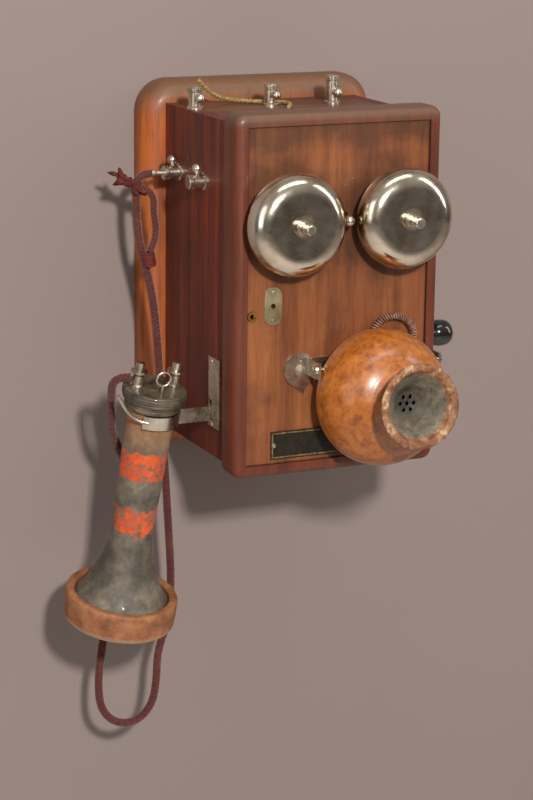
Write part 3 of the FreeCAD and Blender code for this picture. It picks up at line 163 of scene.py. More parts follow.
# %% Frames of the turned pieces
RECEIVER_AXIS = np.array(joints["receiver_lift"]["axis"], float)
RECEIVER_PLACE = np.array(joints["receiver_lift"]["pos_m"], float)
TILT = radians(83.5)
MIC_PLACE = np.array(joints["transmitter_tilt"]["pos_m"], float) + np.array([0, -0.001, -0.0202])


def facing_front(centre):
    """Sends local +Z to the row's -Y and local +Y to the row's +Z, from a centre."""
    return lambda points: np.array(centre) + np.stack([points[..., 0], -points[..., 2], points[..., 1]], -1)


def facing_right(centre):
    """Sends local +Z to the row's +X, from a centre."""
    return lambda points: np.array(centre) + np.stack([points[..., 2], points[..., 1], -points[..., 0]], -1)


def on_receiver(centre=(0, 0, 0)):
    """Turns local +Z onto the receiver's own axis by the shortest turn."""
    matrix = np.array(Vector((0, 0, 1)).rotation_difference(Vector(RECEIVER_AXIS)).to_matrix())
    return lambda points: RECEIVER_PLACE + (points + np.array(centre)) @ matrix.T


def on_transmitter(points):
    """Turns local +Z forwards and a little up, by 83.5 degrees about X."""
    x, y, z = points[..., 0], points[..., 1], points[..., 2]
    return MIC_PLACE + np.stack([x, y * cos(TILT) - z * sin(TILT), y * sin(TILT) + z * cos(TILT)], -1)


# %% [markdown]
# ## Node materials
# A finish is a Principled shader with a few textures in front of it. The small class below
# keeps the node code short: it adds a node, joins what is given to its sockets, and keeps
# every plain value on the shader's own socket.


# %% Material helper
def shade(red, green, blue):
    """A screen colour from 0 to 255, changed to the linear light that a shader needs."""
    return tuple((np.array([red, green, blue]) / 255) ** 2.2) + (1.0,)


class Finish:
    """One node material being made, with short ways to add its nodes."""

    def __init__(self, name, **plain):
        self.material = bpy.data.materials.new(name)
        self.material.use_nodes = True
        self.tree = self.material.node_tree
        self.shader = self.tree.nodes["Principled BSDF"]
        for key, value in plain.items():
            self.shader.inputs[key.replace("_", " ")].default_value = value
        self.where = self.tree.nodes.new("ShaderNodeTexCoord").outputs["Object"]

    def add(self, kind, inputs, **settings):
        node = self.tree.nodes.new(kind)
        for key, value in settings.items():
            setattr(node, key, value)
        for key, value in inputs.items():
            if isinstance(value, bpy.types.NodeSocket):
                self.tree.links.new(value, node.inputs[key])
            else:
                node.inputs[key].default_value = value
        return node

    def noise(self, scale, detail=4.0, stretch=(1, 1, 1), where=None, rough=0.55):
        mapping = self.add("ShaderNodeMapping", {"Vector": where or self.where, "Scale": stretch})
        inputs = {"Vector": mapping.outputs[0], "Scale": scale, "Detail": detail, "Roughness": rough}
        return self.add("ShaderNodeTexNoise", inputs).outputs["Fac"]

    def ramp(self, value, *stops):
        node = self.add("ShaderNodeValToRGB", {"Fac": value})
        elements = node.color_ramp.elements
        while len(elements) < len(stops):
            elements.new(0.5)
        for element, (place, colour) in zip(elements, stops):
            element.position = place
            element.color = colour if isinstance(colour, tuple) else (colour, colour, colour, 1.0)
        return node.outputs["Color"]

    def mix(self, amount, one, two, way="MIX"):
        node = self.add("ShaderNodeMix", {0: amount, 6: one, 7: two}, data_type="RGBA", blend_type=way)
        return node.outputs[2]

    def math(self, operation, one, two=0.0, three=0.0):
        return self.add("ShaderNodeMath", {0: one, 1: two, 2: three}, operation=operation).outputs[0]

    def axis(self, name, where=None):
        return self.add("ShaderNodeSeparateXYZ", {0: where or self.where}).outputs[name]

    def colour(self, socket):
        self.tree.links.new(socket, self.shader.inputs["Base Color"])
        return self

    def rough(self, value, low, high):
        spread = self.add("ShaderNodeMapRange", {"Value": value, "To Min": low, "To Max": high})
        self.tree.links.new(spread.outputs[0], self.shader.inputs["Roughness"])
        return self

    def bump(self, height, distance, strength=1.0):
        node = self.add("ShaderNodeBump", {"Height": height, "Distance": distance, "Strength": strength})
        self.tree.links.new(node.outputs[0], self.shader.inputs["Normal"])
        return self


def dress(piece, finish):
    """Gives a piece, or a node of the frame by name, one material."""
    piece = nodes[piece] if isinstance(piece, str) else piece
    piece.data.materials.clear()
    piece.data.materials.append(finish.material)
    return piece


def settle(piece, body, finish, slot, *replaced):
    """Dresses a new piece, makes it ride on its body, if it has one body, and hides the frame's nodes that it
    replaces. The slot is not used."""
    dress(piece, finish)
    if body:
        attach(piece, body)
    if replaced:
        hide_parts(*replaced)
    print(piece.name, len(piece.data.polygons), "faces")
    return piece


# %% [markdown]
# ## The braided cord
# The receiver hangs from a maroon braided cord: it leaves a metal tip in the upper side
# post, falls behind the receiver, makes one low loop and climbs to the receiver's left
# post. Its route is a NURBS spline. The tube follows points read from that spline, and its
# radius rises and falls with two families of strands that cross each other.

# %% Cord routes
CORD_ROUTE = np.array([
    (-87.6, -45, 66), (-93.5, -45, 66), (-97.5, -45, 61), (-97.8, -45, 52), (-97.5, -45, 38),
    (-96, -45.5, 24), (-92, -46, 8), (-87, -47, -14), (-84, -48, -45), (-81.5, -47, -84),
    (-78.5, -46, -124), (-75, -44, -168), (-71.5, -41, -208), (-74, -42, -236), (-83, -44.5, -256),
    (-84.2, -46, -275), (-88, -48.5, -291), (-99.5, -50.5, -301), (-114.5, -50.5, -300.5),
    (-125, -48.5, -290), (-126, -46, -271), (-121.5, -42, -248.9), (-113.8, -33, -227.7),
    (-105.5, -30, -207.4), (-100.5, -34, -184.4), (-100.7, -44, -159.4), (-105.2, -54, -135.7),
    (-111.6, -62, -116.8),
    (-120.4, -69, -102.8), (-127, -76, -89.8), (-129.5, -83, -76.8), (-131.6, -90.0, -65.1),
    (-133.2, -95.2, -55.8), (-131.1, -100.5, -50.5), (-123.4, -103.1, -50.2)]) / 1000
BRANCH_ROUTE = np.array([
    (-103.5, -47, 62), (-98, -50.4, 58.7), (-91.6, -51.3, 56.6), (-87.7, -51.3, 50.6), (-87.9, -50.2, 42.2),
    (-85.7, -49.2, 32.9), (-86.1, -49.2, 25.2), (-88.7, -49, 19.2), (-89.5, -48.9, 16.2)]) / 1000
LEAD_ROUTE = np.array([
    (52, -131, -36), (52, -141.9, -36), (51.8, -142.4, -25.2), (46, -142.6, -18.3), (37.5, -142.2, -15.7),
    (28, -142, -18.5), (22, -141.9, -25.7), (22, -141.9, -36.5), (22, -152.6, -36.5)]) / 1000
JUMPER_ROUTE = np.array([
    (-56, -46, 124.5), (-49.5, -43.5, 118), (-41.5, -40, 113), (-32, -37, 110), (-23, -37.5, 108.9),
    (-16, -42, 108.6), (-10.8, -45.8, 108.5), (-1.2, -48, 108.5), (2.4, -57.3, 108.5), (-1, -67, 108.5),
    (-7.5, -77.5, 108.5)]) / 1000


def spline_points(route):
    """The points of a smooth NURBS spline that has the route as its control points."""
    curve = bpy.data.curves.new("route", "CURVE")
    curve.dimensions = "3D"
    curve.resolution_u = 20
    spline = curve.splines.new("NURBS")
    spline.points.add(len(route) - 1)
    spline.points.foreach_set("co", np.column_stack([route, np.ones(len(route))]).ravel())
    spline.order_u = 3
    spline.use_endpoint_u = True
    holder = bpy.data.objects.new("route", curve)
    mesh = bpy.data.meshes.new_from_object(holder)
    points = np.empty(len(mesh.vertices) * 3)
    mesh.vertices.foreach_get("co", points)
    bpy.data.objects.remove(holder)
    return points.reshape(-1, 3)


def evenly(points, spacing):
    """The same line with points a fixed distance apart, and that line's length."""
    steps = np.linalg.norm(np.diff(points, axis=0), axis=1)
    reach = np.concatenate([[0], np.cumsum(steps)])
    wanted = np.linspace(0, reach[-1], int(reach[-1] / spacing) + 1)
    return np.stack([np.interp(wanted, reach, points[:, axis]) for axis in range(3)], 1), wanted


def frames_along(points):
    """Two directions across the line at each point, turned as little as possible: a fixed
    side direction has its part along the line taken away, and the cross product gives the other."""
    along = np.gradient(points, axis=0)
    along /= np.linalg.norm(along, axis=1, keepdims=True)
    side = np.empty_like(along)
    side[0] = np.cross(along[0], (0.31, 0.52, 0.79))
    for index in range(1, len(along)):
        side[index] = side[index - 1] - along[index] * (side[index - 1] @ along[index])
        side[index] /= np.linalg.norm(side[index])
    side[0] /= np.linalg.norm(side[0])
    return along, side, np.cross(along, side)


def braided(name, points, reach, radius, strands, pitch, depth):
    """A braided tube: radius + depth * the higher of |cos| of the two strand families, one turning left along
    the cord and one turning right. The same height is kept as an attribute, so that painted shade can darken
    the grooves between strands."""
    angle = np.linspace(0, 2 * pi, 36, endpoint=False)
    _, side, up = frames_along(points)
    turn_left = np.abs(np.cos(strands / 2 * (angle + 2 * pi * reach[:, None] / pitch)))
    turn_right = np.abs(np.cos(strands / 2 * (angle - 2 * pi * reach[:, None] / pitch)))
    over = np.sin(strands / 2 * angle) * np.cos(strands * pi * reach[:, None] / pitch) > 0
    height = np.where(over, turn_left, turn_right) * 0.7 + 0.3 * np.maximum(turn_left, turn_right)
    swell = (radius - depth * (1 - height))[..., None]
    ring = side[:, None] * np.cos(angle)[None, :, None] + up[:, None] * np.sin(angle)[None, :, None]
    closing = np.ones((len(points), 1, 1))
    closing[0], closing[-1] = 0, 0
    return surface(name, points[:, None] + ring * swell * closing, sharp=80, values={"braid_groove_shade": height})


# %% Braid finish
def braid_finish(name, dark, light):
    finish = Finish(name, Roughness=0.85, Sheen_Weight=0.25)
    braid_groove_shade = finish.add("ShaderNodeAttribute", {}, attribute_name="braid_groove_shade").outputs["Fac"]
    # Painted shade: the dark colour fills the grooves between strands, where the strand height is low, and
    # the light colour sits on the strand tops.
    colour = finish.ramp(braid_groove_shade, (0.45, dark), (0.95, light))
    worn = finish.ramp(finish.noise(60), (0.45, 0.0), (0.75, 1.0))
    dusty = finish.mix(0.5, light, shade(140, 104, 84))
    finish.colour(finish.mix(finish.math("MULTIPLY", worn, 0.22), colour, dusty))
    return finish.bump(finish.noise(2500), 0.0001, 0.5)


yarn = Finish("maroon_yarn", Roughness=0.9)
yarn.colour(yarn.ramp(yarn.noise(500), (0.3, shade(52, 18, 15)), (0.7, shade(112, 44, 36))))
yarn.bump(yarn.noise(2500), 0.0001, 0.5)
cord_braid = braid_finish("maroon_braid", shade(26, 8, 8), shade(106, 42, 34))
points, reach = evenly(spline_points(CORD_ROUTE), 0.0006)
receiver_cord = braided("receiver_cord_braid", points, reach, 0.0028, 8, 0.011, 0.0008)
settle(receiver_cord, None, cord_braid, "braided_cord", "receiver_cord")
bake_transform(receiver_cord)
print("receiver cord length", reach[-1])

points, reach = evenly(spline_points(BRANCH_ROUTE[::-1]), 0.0006)
branch = braided("cord_branch_braid", points, reach, 0.0023, 6, 0.009, 0.0006)
settle(branch, "case", cord_braid, "braided_cord", "cord_branch")
branch_end = points[-1]

# %% [markdown]
# The branch is bound at its frayed upper end and joins the cord lower down under a collar
# of thread. Each loose end of yarn is a thin tapering tube that bends its own way.


# %% Tuft and whipping
def yarns(name, root, way, count, length, radius, seed):
    """Thin tubes: point = root + way * s + a drift of its own * s squared, thinner to the tip."""
    random = np.random.default_rng(seed)
    share = np.linspace(0, 1, 9)
    angle = np.linspace(0, 2 * pi, 7, endpoint=False)
    way = way / np.linalg.norm(way)
    pieces = []
    for index in range(count):
        drift = random.normal(0, 0.34, 3)
        drift[2] += 0.1
        start = root + random.normal(0, 0.0011, 3)
        reach = length * random.uniform(0.6, 1.1)
        line = start + reach * (share[:, None] * way + share[:, None] ** 2 * drift)
        _, side, up = frames_along(line)
        ring = side[:, None] * np.cos(angle)[None, :, None] + up[:, None] * np.sin(angle)[None, :, None]
        size = radius * (1 + 0.2 * np.sin(share * 30 + index)) * np.where(share > 0.99, 0, 1)
        size[0] = 0
        pieces.append(surface("%s_%d" % (name, index), line[:, None] + ring * size[:, None, None], sharp=80))
    with bpy.context.temp_override(active_object=pieces[0], selected_editable_objects=pieces):
        bpy.ops.object.join()
    pieces[0].name = name
    return pieces[0]


def coil(name, line, wire, gap, spread, steps=8, turn_share=14):
    """A wire wound round a line: its centre goes round at the spread distance, one turn
    for each gap along the line, and a small ring of points follows that centre."""
    points, reach = evenly(line, gap / turn_share)
    _, side, up = frames_along(points)
    turn = 2 * pi * reach[:, None] / gap
    centre = points + spread * (side * np.cos(turn) + up * np.sin(turn))
    _, across, over = frames_along(centre)
    angle = np.linspace(0, 2 * pi, steps, endpoint=False)
    thickness = np.full((len(centre), 1, 1), wire)
    thickness[0], thickness[-1] = 0, 0
    ring = across[:, None] * np.cos(angle)[None, :, None] + over[:, None] * np.sin(angle)[None, :, None]
    return surface(name, centre[:, None] + thickness * ring, sharp=80)


tuft = yarns("cord_tuft", branch_end, np.array([-0.8, 0.0, 0.3]), 26, 0.0075, 0.0013, 4)
settle(tuft, "case", yarn, "braided_cord")
knot = yarns("cord_knot", branch_end + np.array([0.004, -0.0005, -0.0035]), np.array([0.6, -0.1, -0.35]), 14,
             0.0085, 0.0016, 11)
settle(knot, "case", yarn, "braided_cord")
collar_line = evenly(spline_points(BRANCH_ROUTE[:3]), 0.001)[0][:9]
whipping = coil("branch_whipping", collar_line, 0.0005, 0.001, 0.0024, 6)
settle(whipping, "case", yarn, "braided_cord")
join_line = spline_points(np.array([
    (-0.0908, -0.0470, 0.0160), (-0.0902, -0.0472, 0.0115), (-0.0893, -0.0473, 0.0070)]))
join = coil("branch_collar", join_line, 0.0006, 0.0011, 0.0040, 8)
settle(join, "case", yarn, "braided_cord")

# %% [markdown]
# The transmitter's lead is a wire wound into a close spring, so it is a helix that follows
# the same arch as its plain solid. The old jumper wire on the top is two cloth-covered
# strands twisted together.

# %% Lead and jumper
cloth = Finish("tan_cloth", Roughness=0.9)
cloth.colour(cloth.ramp(cloth.noise(900), (0.3, shade(92, 70, 38)), (0.7, shade(176, 148, 92))))
cloth.bump(cloth.noise(3000), 0.0001, 0.6)
brown_wire = Finish("brown_wound_wire", Roughness=0.55)
brown_wire.colour(brown_wire.ramp(brown_wire.noise(260), (0.3, shade(80, 48, 38)),
                                  (0.7, shade(160, 118, 98))))
lead_line = spline_points(LEAD_ROUTE)
lead = coil("wound_lead", lead_line, 0.00062, 0.00165, 0.0018)
settle(lead, None, brown_wire, "cloth_wire", "transmitter_lead")
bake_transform(lead)

points, reach = evenly(spline_points(JUMPER_ROUTE), 0.0006)
angle = np.linspace(0, 2 * pi, 24, endpoint=False)
_, side, up = frames_along(points)
twist = angle + 2 * pi * reach[:, None] / 0.006
waist = (0.0014 * (0.62 + 0.38 * np.abs(np.cos(twist))))[..., None]
ring = side[:, None] * np.cos(angle)[None, :, None] + up[:, None] * np.sin(angle)[None, :, None]
closing = np.ones((len(points), 1, 1))
closing[0], closing[-1] = 0, 0
jumper = surface("twisted_jumper", points[:, None] + ring * waist * closing, sharp=80)
settle(jumper, "case", cloth, "cloth_wire", "jumper_wire")

# %% [markdown]
# ## Wood
# The case is stained and varnished wood. Streaks run along the grain because the noise is
# squeezed across it, fine pores are a second and much finer noise, and a broad noise gives
# patches of darker stain. A thin clear coat gives the varnish its shine.


# %% Wood finishes
def wood(name, dark, middle, light, along, gloss=0.42, coat=0.35, patch=0.5):
    finish = Finish(name, Coat_Weight=coat, Coat_Roughness=0.22)
    stretch = [1.0, 1.0, 1.0]
    stretch["XYZ".index(along)] = 0.055
    streak = finish.noise(170, 6.0, tuple(stretch))
    pores = finish.noise(1500, 2.0, tuple(stretch))
    broad = finish.noise(16, 3.0)
    colour = finish.ramp(streak, (0.3, dark), (0.5, middle), (0.72, light))
    pore_shade = finish.ramp(pores, (0.32, 0.55), (0.46, 1.0))
    colour = finish.mix(0.55, colour, pore_shade, "MULTIPLY")
    stain = finish.ramp(broad, (0.35, 1.0 - patch), (0.62, 1.0))
    colour = finish.mix(0.8, colour, stain, "MULTIPLY")
    finish.rough(broad, gloss - 0.1, gloss + 0.14)
    finish.bump(finish.math("ADD", streak, pores), 0.00025, 0.35)
    return finish, colour, broad


case_wood, colour, _ = wood("dark_red_varnish", shade(72, 24, 8), shade(106, 38, 13), shade(130, 54, 20),
                            "Z", 0.55, 0.04)
case_wood.colour(colour)
cross_wood, colour, _ = wood("dark_red_varnish_across", shade(66, 34, 20), shade(106, 62, 38),
                             shade(136, 86, 56), "X", 0.5, 0.1)
cross_wood.colour(colour)
for name in ("case_left_side", "case_right_side"):
    dress(name, case_wood)
for name in ("case_top", "case_bottom"):
    dress(name, cross_wood)

# %% [markdown]
# The door's flat panel is a lighter orange brown, while the rounded edge is darker, redder at the sides and
# dusty along the top. The object's own coordinates say which is which, and they also place painted shade
# round each gong and along the groove between panel and edge, and darken the top of the door.

# %% Door finish
door_wood, colour, broad = wood("door_varnish", shade(98, 54, 28), shade(124, 70, 37), shade(140, 84, 46),
                                "Z", 0.46, 0.15, 0.18)
door_low, door_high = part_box("door")
door_middle = (door_low.z + door_high.z) / 2
across = door_wood.math("ABSOLUTE", door_wood.axis("X"))
tall = door_wood.math("ABSOLUTE", door_wood.math("SUBTRACT", door_wood.axis("Z"), door_middle))
edge_x = door_wood.math("SUBTRACT", across, door_high.x - 0.0086)
edge_z = door_wood.math("SUBTRACT", tall, door_high.z - door_middle - 0.0086)
edge = door_wood.math("MAXIMUM", edge_x, edge_z)
rim = door_wood.ramp(door_wood.math("MULTIPLY_ADD", edge, 900, 0.2), (0.1, 0.0), (0.35, 1.0))
red_edge = door_wood.mix(0.75, colour, shade(176, 106, 60), "MULTIPLY")
high = door_wood.math("MULTIPLY_ADD", door_wood.axis("Z"), 60, -60 * (door_high.z - 0.012))
dust = door_wood.math("MULTIPLY", door_wood.ramp(high, (0.1, 0.0), (0.6, 0.75)), 1.0)
red_edge = door_wood.mix(dust, red_edge, shade(98, 74, 56))
blotch = door_wood.noise(34, 6.0, rough=0.65)
# The door is darker towards its top, and it gets painted shade in a ring round each gong, out to 48 mm from
# the gong's centre.
near_top = door_wood.math("MULTIPLY_ADD", door_wood.axis("Z"), 55, -55 * (door_high.z - 0.030))
top_dark_and_gong_shade = door_wood.math("MAXIMUM", near_top, 0.0)
for side in ("left_gong", "right_gong"):
    low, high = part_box(side)
    gap = [door_wood.math("SUBTRACT", door_wood.axis(name), (low[index] + high[index]) / 2)
           for name, index in (("X", 0), ("Z", 2))]
    away = door_wood.math("SQRT", door_wood.math("ADD", door_wood.math("MULTIPLY", gap[0], gap[0]),
                                                  door_wood.math("MULTIPLY", gap[1], gap[1])))
    top_dark_and_gong_shade = door_wood.math("MAXIMUM", top_dark_and_gong_shade, door_wood.math("MULTIPLY_ADD", away, -40, 40 * 0.048))
stain_and_gong_shade = door_wood.ramp(door_wood.math("ADD", blotch, door_wood.math("MULTIPLY", top_dark_and_gong_shade, 0.35)),
                         (0.5, 1.0), (0.78, 0.42))
colour = door_wood.mix(0.9, colour, stain_and_gong_shade, "MULTIPLY")
colour = door_wood.mix(rim, colour, red_edge)
# Painted shade along the groove where the panel meets the rounded edge.
groove_shade = door_wood.ramp(door_wood.math("MULTIPLY_ADD", door_wood.math("ABSOLUTE", edge), 900, 0.0),
                        (0.2, 0.35), (0.65, 1.0))
door_wood.colour(door_wood.mix(0.9, colour, groove_shade, "MULTIPLY"))
dress("door", door_wood)

board_wood, colour, broad = wood("board_varnish", shade(124, 58, 20), shade(160, 80, 28), shade(182, 100, 40),
                                 "Z", 0.5, 0.1, 0.25)
high = board_wood.math("MULTIPLY_ADD", board_wood.axis("Z"), 40, -40 * 0.094)
board_wood.colour(board_wood.mix(board_wood.ramp(high, (0.1, 0.0), (0.8, 0.85)), colour, shade(96, 72, 52)))
dress("backboard", board_wood)

# %% [markdown]
# ## Metals
# The nickel plate is bright but a little warm and clouded. Brass shows at screws and in
# the works, and the works themselves are dark iron.


# %% Metal finishes
def metal(name, low, high, smooth, rough, scale=90):
    finish = Finish(name, Metallic=1.0)
    cloud = finish.noise(scale, 5.0)
    finish.colour(finish.ramp(cloud, (0.3, low), (0.65, high)))
    finish.rough(finish.noise(scale * 3, 5.0), smooth, rough)
    return finish.bump(finish.noise(1400, 3.0), 0.00008, 0.3)


nickel = metal("clouded_nickel", shade(168, 152, 130), shade(222, 212, 196), 0.16, 0.4)
dull_nickel = metal("dull_nickel", shade(150, 138, 118), shade(205, 196, 176), 0.3, 0.5)
brass = metal("worn_brass", shade(120, 86, 40), shade(196, 156, 86), 0.28, 0.5)
pale_brass = metal("pale_brass", shade(150, 130, 92), shade(214, 200, 160), 0.3, 0.5)
iron = metal("dark_iron", shade(46, 44, 42), shade(88, 84, 80), 0.4, 0.65)
horn_iron = metal("magnet_steel", shade(88, 84, 80), shade(132, 128, 122), 0.35, 0.55, 40)
cotton = Finish("green_cotton", Roughness=0.9)
winding = cotton.add("ShaderNodeTexWave", {"Vector": cotton.where, "Scale": 420.0, "Distortion": 0.6},
                     bands_direction="X").outputs["Fac"]
cotton.colour(cotton.ramp(winding, (0.2, shade(40, 62, 44)), (0.8, shade(84, 112, 80))))
cotton.bump(winding, 0.0003, 0.8)
for name in ("line_posts", "cord_posts", "post_thumbscrews", "hook_plate", "hook_lever",
             "transmitter_pivots", "transmitter_bracket", "receiver_posts", "receiver_ring", "clapper",
             "crank_arm", "crank_shaft", "gong_posts", "gong_screws", "crank_bushing"):
    dress(name, nickel)
for name in ("case_hinge_leaves", "door_hinge_leaves", "hinge_pins", "case_screws", "cord_tip",
             "door_screws"):
    dress(name, dull_nickel)
dress("lock_escutcheon", pale_brass)
for name in ("door_eyelet", "main_gear", "armature_pinion", "hook_contact_springs", "lock_bolt"):
    dress(name, brass)
for name in ("hook_pivot", "magneto_frame", "armature", "lock_body", "ringer_frame", "ringer_armature",
             "receiver_magnet", "receiver_diaphragm", "transmitter_diaphragm", "transmitter_back"):
    dress(name, iron)
dress("magneto_magnets", horn_iron)
for name in ("induction_coil", "ringer_coils"):
    dress(name, cotton)

# %% [markdown]
# ## Gongs
# Each gong is a thin spun cup with a nearly flat crown and a round shoulder.

# %% Gong surfaces
spun = Finish("spun_nickel", Metallic=1.0)
spun_cloud = spun.noise(55, 6.0)
spun.colour(spun.ramp(spun_cloud, (0.28, shade(170, 152, 128)), (0.5, shade(212, 198, 176)),
                      (0.7, shade(228, 220, 206))))
spun.rough(spun.noise(160, 6.0), 0.08, 0.26)
spun.bump(spun.noise(500, 4.0), 0.0001, 0.35)
arc = np.linspace(0, pi / 2, 14)
for name in ("left_gong", "right_gong"):
    low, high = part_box(name)
    centre = ((low.x + high.x) / 2, high.y, (low.z + high.z) / 2)
    outer, deep, bend, wall, bore = (high.x - low.x) / 2, high.y - low.y, 0.012, 0.0016, 0.003
    crown = [(bore + 0.0001, deep - wall), (bore + 0.0001, deep - 0.0001), (0.009, deep - 0.0001)]
    shoulder = [(outer - bend + bend * sin(a), deep - bend + bend * cos(a)) for a in arc]
    inner = bend - wall
    inside = [(outer - bend + inner * sin(a), deep - bend + inner * cos(a)) for a in arc[::-1]]
    profile = crown + shoulder + [(outer, 0.0012), (outer - 0.0003, 0.0002), (outer - wall, 0.0002)] + inside
    profile += [(0.009, deep - wall), (bore + 0.0001, deep - wall)]
    gong = lathe(name + "_cup", profile[::-1], facing_front(centre), 128, 0.0002)
    settle(gong, "door", spun, "nickel", name)

# %% [markdown]
# ## Transmitter
# The dome is a lacquered metal cup the colour of dark honey, mottled by age. The
# mouthpiece was once lacquered too: its rim is chipped back to pale composition, and its
# funnel is grey green with fine rings.

# %% Dome
honey = Finish("honey_lacquer", Coat_Weight=0.5, Coat_Roughness=0.12)
mottle = honey.noise(150, 8.0, rough=0.7)
speck = honey.noise(420, 4.0)
colour = honey.ramp(mottle, (0.3, shade(112, 56, 18)), (0.5, shade(164, 92, 32)), (0.72, shade(190, 118, 52)))
dark_specks = honey.ramp(speck, (0.34, 0.45), (0.46, 1.0))
patches = honey.ramp(honey.noise(22, 3.0), (0.38, 0.8), (0.6, 1.0))
colour = honey.mix(0.4, colour, dark_specks, "MULTIPLY")
honey.colour(honey.mix(0.8, colour, patches, "MULTIPLY"))
honey.rough(speck, 0.25, 0.5)
honey.bump(mottle, 0.0004, 0.25)
arc = np.linspace(0, 1.256, 24)
dome = [(0.034, -0.0029), (0.0400, -0.003), (0.0422, -0.0015), (0.0430, 0.001)]
dome += [(0.0115 + 0.0315 * cos(a), 0.004 + 0.0315 * sin(a)) for a in arc]
dome += [(0.0185, 0.0358), (0.0165, 0.037)]
dome += [(0.0082, 0.037), (0.0082, 0.031), (0.028, 0.014), (0.034, 0.008), (0.034, -0.0029)]
shell = lathe("transmitter_dome", dome, on_transmitter, 128, 0.0006)
settle(shell, "transmitter", honey, "bronze_paint", "transmitter_shell")


# %% Mouthpiece
def chips(radius, height, angle):
    """Small hollows along the rim: sines of several counts, strongest at the outer edge."""
    strength = np.clip((radius - 0.0222) / 0.003, 0, 1)
    ripple = np.sin(7 * angle + 1) * np.sin(17 * angle) + 0.6 * np.sin(31 * angle + 2) * np.sin(11 * angle)
    return -0.00035 * strength * np.clip(ripple, 0, 1)


steps = np.linspace(0, 1, 26)[1:-1]
ridges = [(0.0110 + 0.0085 * s ** 0.75 + 0.00012 * (-1) ** i, 0.0430 + 0.0100 * s)
          for i, s in enumerate(steps)]
back = [(0.0, 0.0381), (0.0079, 0.0381), (0.0081, 0.0371), (0.0162, 0.0371), (0.0150, 0.0400),
        (0.0153, 0.0435),
        (0.0170, 0.0485), (0.0212, 0.0528), (0.0248, 0.0548), (0.0264, 0.0556), (0.0264, 0.0569),
        (0.0254, 0.0576), (0.0240, 0.0578), (0.0226, 0.0574)]
front = [(0.0214, 0.0566), (0.0206, 0.0550)] + ridges[::-1]
front += [(0.0096, 0.0412), (0.0082, 0.0400), (0.0074, 0.0395)]
disc = [(0.0, 0.0395)]


def reach_of(profile):
    """How far the UV has gone at the end of a profile."""
    return 10 * float(np.linalg.norm(np.diff(np.array(profile), axis=0), axis=1).sum())


worn = Finish("worn_mouthpiece")
along = worn.axis("Y", worn.add("ShaderNodeUVMap", {}, uv_map="UVMap").outputs[0])
grime = worn.noise(130, 7.0, rough=0.7)
ragged = worn.math("MULTIPLY_ADD", worn.noise(240, 4.0), 0.06, -0.03)
place = worn.math("ADD", along, ragged)
outside = worn.ramp(grime, (0.3, shade(92, 50, 26)), (0.55, shade(156, 92, 48)), (0.75, shade(196, 150, 104)))
inside = worn.ramp(grime, (0.3, shade(66, 58, 48)), (0.5, shade(112, 102, 86)), (0.72, shade(150, 138, 118)))
pale = worn.ramp(grime, (0.4, shade(104, 62, 38)), (0.54, shade(142, 100, 70)), (0.66, shade(196, 172, 138)))
lip_start, lip_end = reach_of(back[:9]), reach_of(back + front[:2])
is_inside = worn.ramp(worn.math("MULTIPLY_ADD", along, 200, -200 * lip_end), (0.0, 0.0), (1.0, 1.0))
after_start = worn.ramp(worn.math("MULTIPLY_ADD", place, 60, -60 * lip_start), (0.0, 0.0), (1.0, 1.0))
before_end = worn.ramp(worn.math("MULTIPLY_ADD", place, -60, 60 * lip_end), (0.0, 0.0), (1.0, 1.0))
is_lip = worn.math("MULTIPLY", after_start, before_end)
colour = worn.mix(is_inside, outside, inside)
colour = worn.mix(is_lip, colour, pale)
disc_start = reach_of(back + front)
is_disc = worn.ramp(worn.math("MULTIPLY_ADD", along, 60, -60 * disc_start + 1), (0.0, 0.0), (1.0, 1.0))
cup = disc_start - lip_end
# Painted shade: the funnel's inside is multiplied darker towards the disc at its bottom, down to a quarter of
# its colour.
deep = worn.ramp(worn.math("MULTIPLY_ADD", along, 1 / cup, -lip_end / cup),
                 (0.0, 1.0), (0.5, 0.7), (1.0, 0.25))
colour = worn.mix(is_inside, colour, worn.mix(1.0, colour, deep, "MULTIPLY"))
worn.colour(worn.mix(is_disc, colour, shade(62, 58, 52)))
worn.rough(grime, 0.45, 0.8)
worn.bump(worn.math("ADD", grime, worn.noise(900, 4.0)), 0.0005, 0.5)
mouthpiece = lathe("mouthpiece_funnel", back + front + disc, on_transmitter, 160, 0.0003, chips)
HOLE_RADIUS, HOLE_CIRCLE = 0.0013, 0.0046
drills = []
for index in range(7):
    out = 0 if index == 0 else HOLE_CIRCLE
    side = np.array([out * cos(pi * index / 3), out * sin(pi * index / 3), 0.0])
    turn = np.linspace(0, 2 * pi, 20, endpoint=False)
    sizes, heights = np.array([0, HOLE_RADIUS, HOLE_RADIUS, 0]), np.array([0.0370, 0.0370, 0.0410, 0.0410])
    ring = np.stack(np.broadcast_arrays(sizes[:, None] * np.cos(turn), sizes[:, None] * np.sin(turn),
                                        heights[:, None]), 2)
    drills.append(surface("drill_%d" % index, on_transmitter(ring + side)))
with bpy.context.temp_override(active_object=drills[0], selected_editable_objects=drills):
    bpy.ops.object.join()
drill = mouthpiece.modifiers.new("drill", "BOOLEAN")
drill.object, drill.operation, drill.solver = drills[0], "DIFFERENCE", "EXACT"
pierced = bpy.data.meshes.new_from_object(mouthpiece.evaluated_get(bpy.context.evaluated_depsgraph_get()))
mouthpiece.modifiers.clear()
mouthpiece.data = pierced
bpy.data.objects.remove(drills[0])
settle(mouthpiece, "transmitter", worn, "black_composition", "mouthpiece")

# %% [markdown]
# ## Receiver
# The receiver is turned from black composition gone grey and brown with handling. Two
# bands of orange paint, flaked and uneven, go round its waist. The paint is a mask on the
# height along the receiver's own axis, broken up by noise.


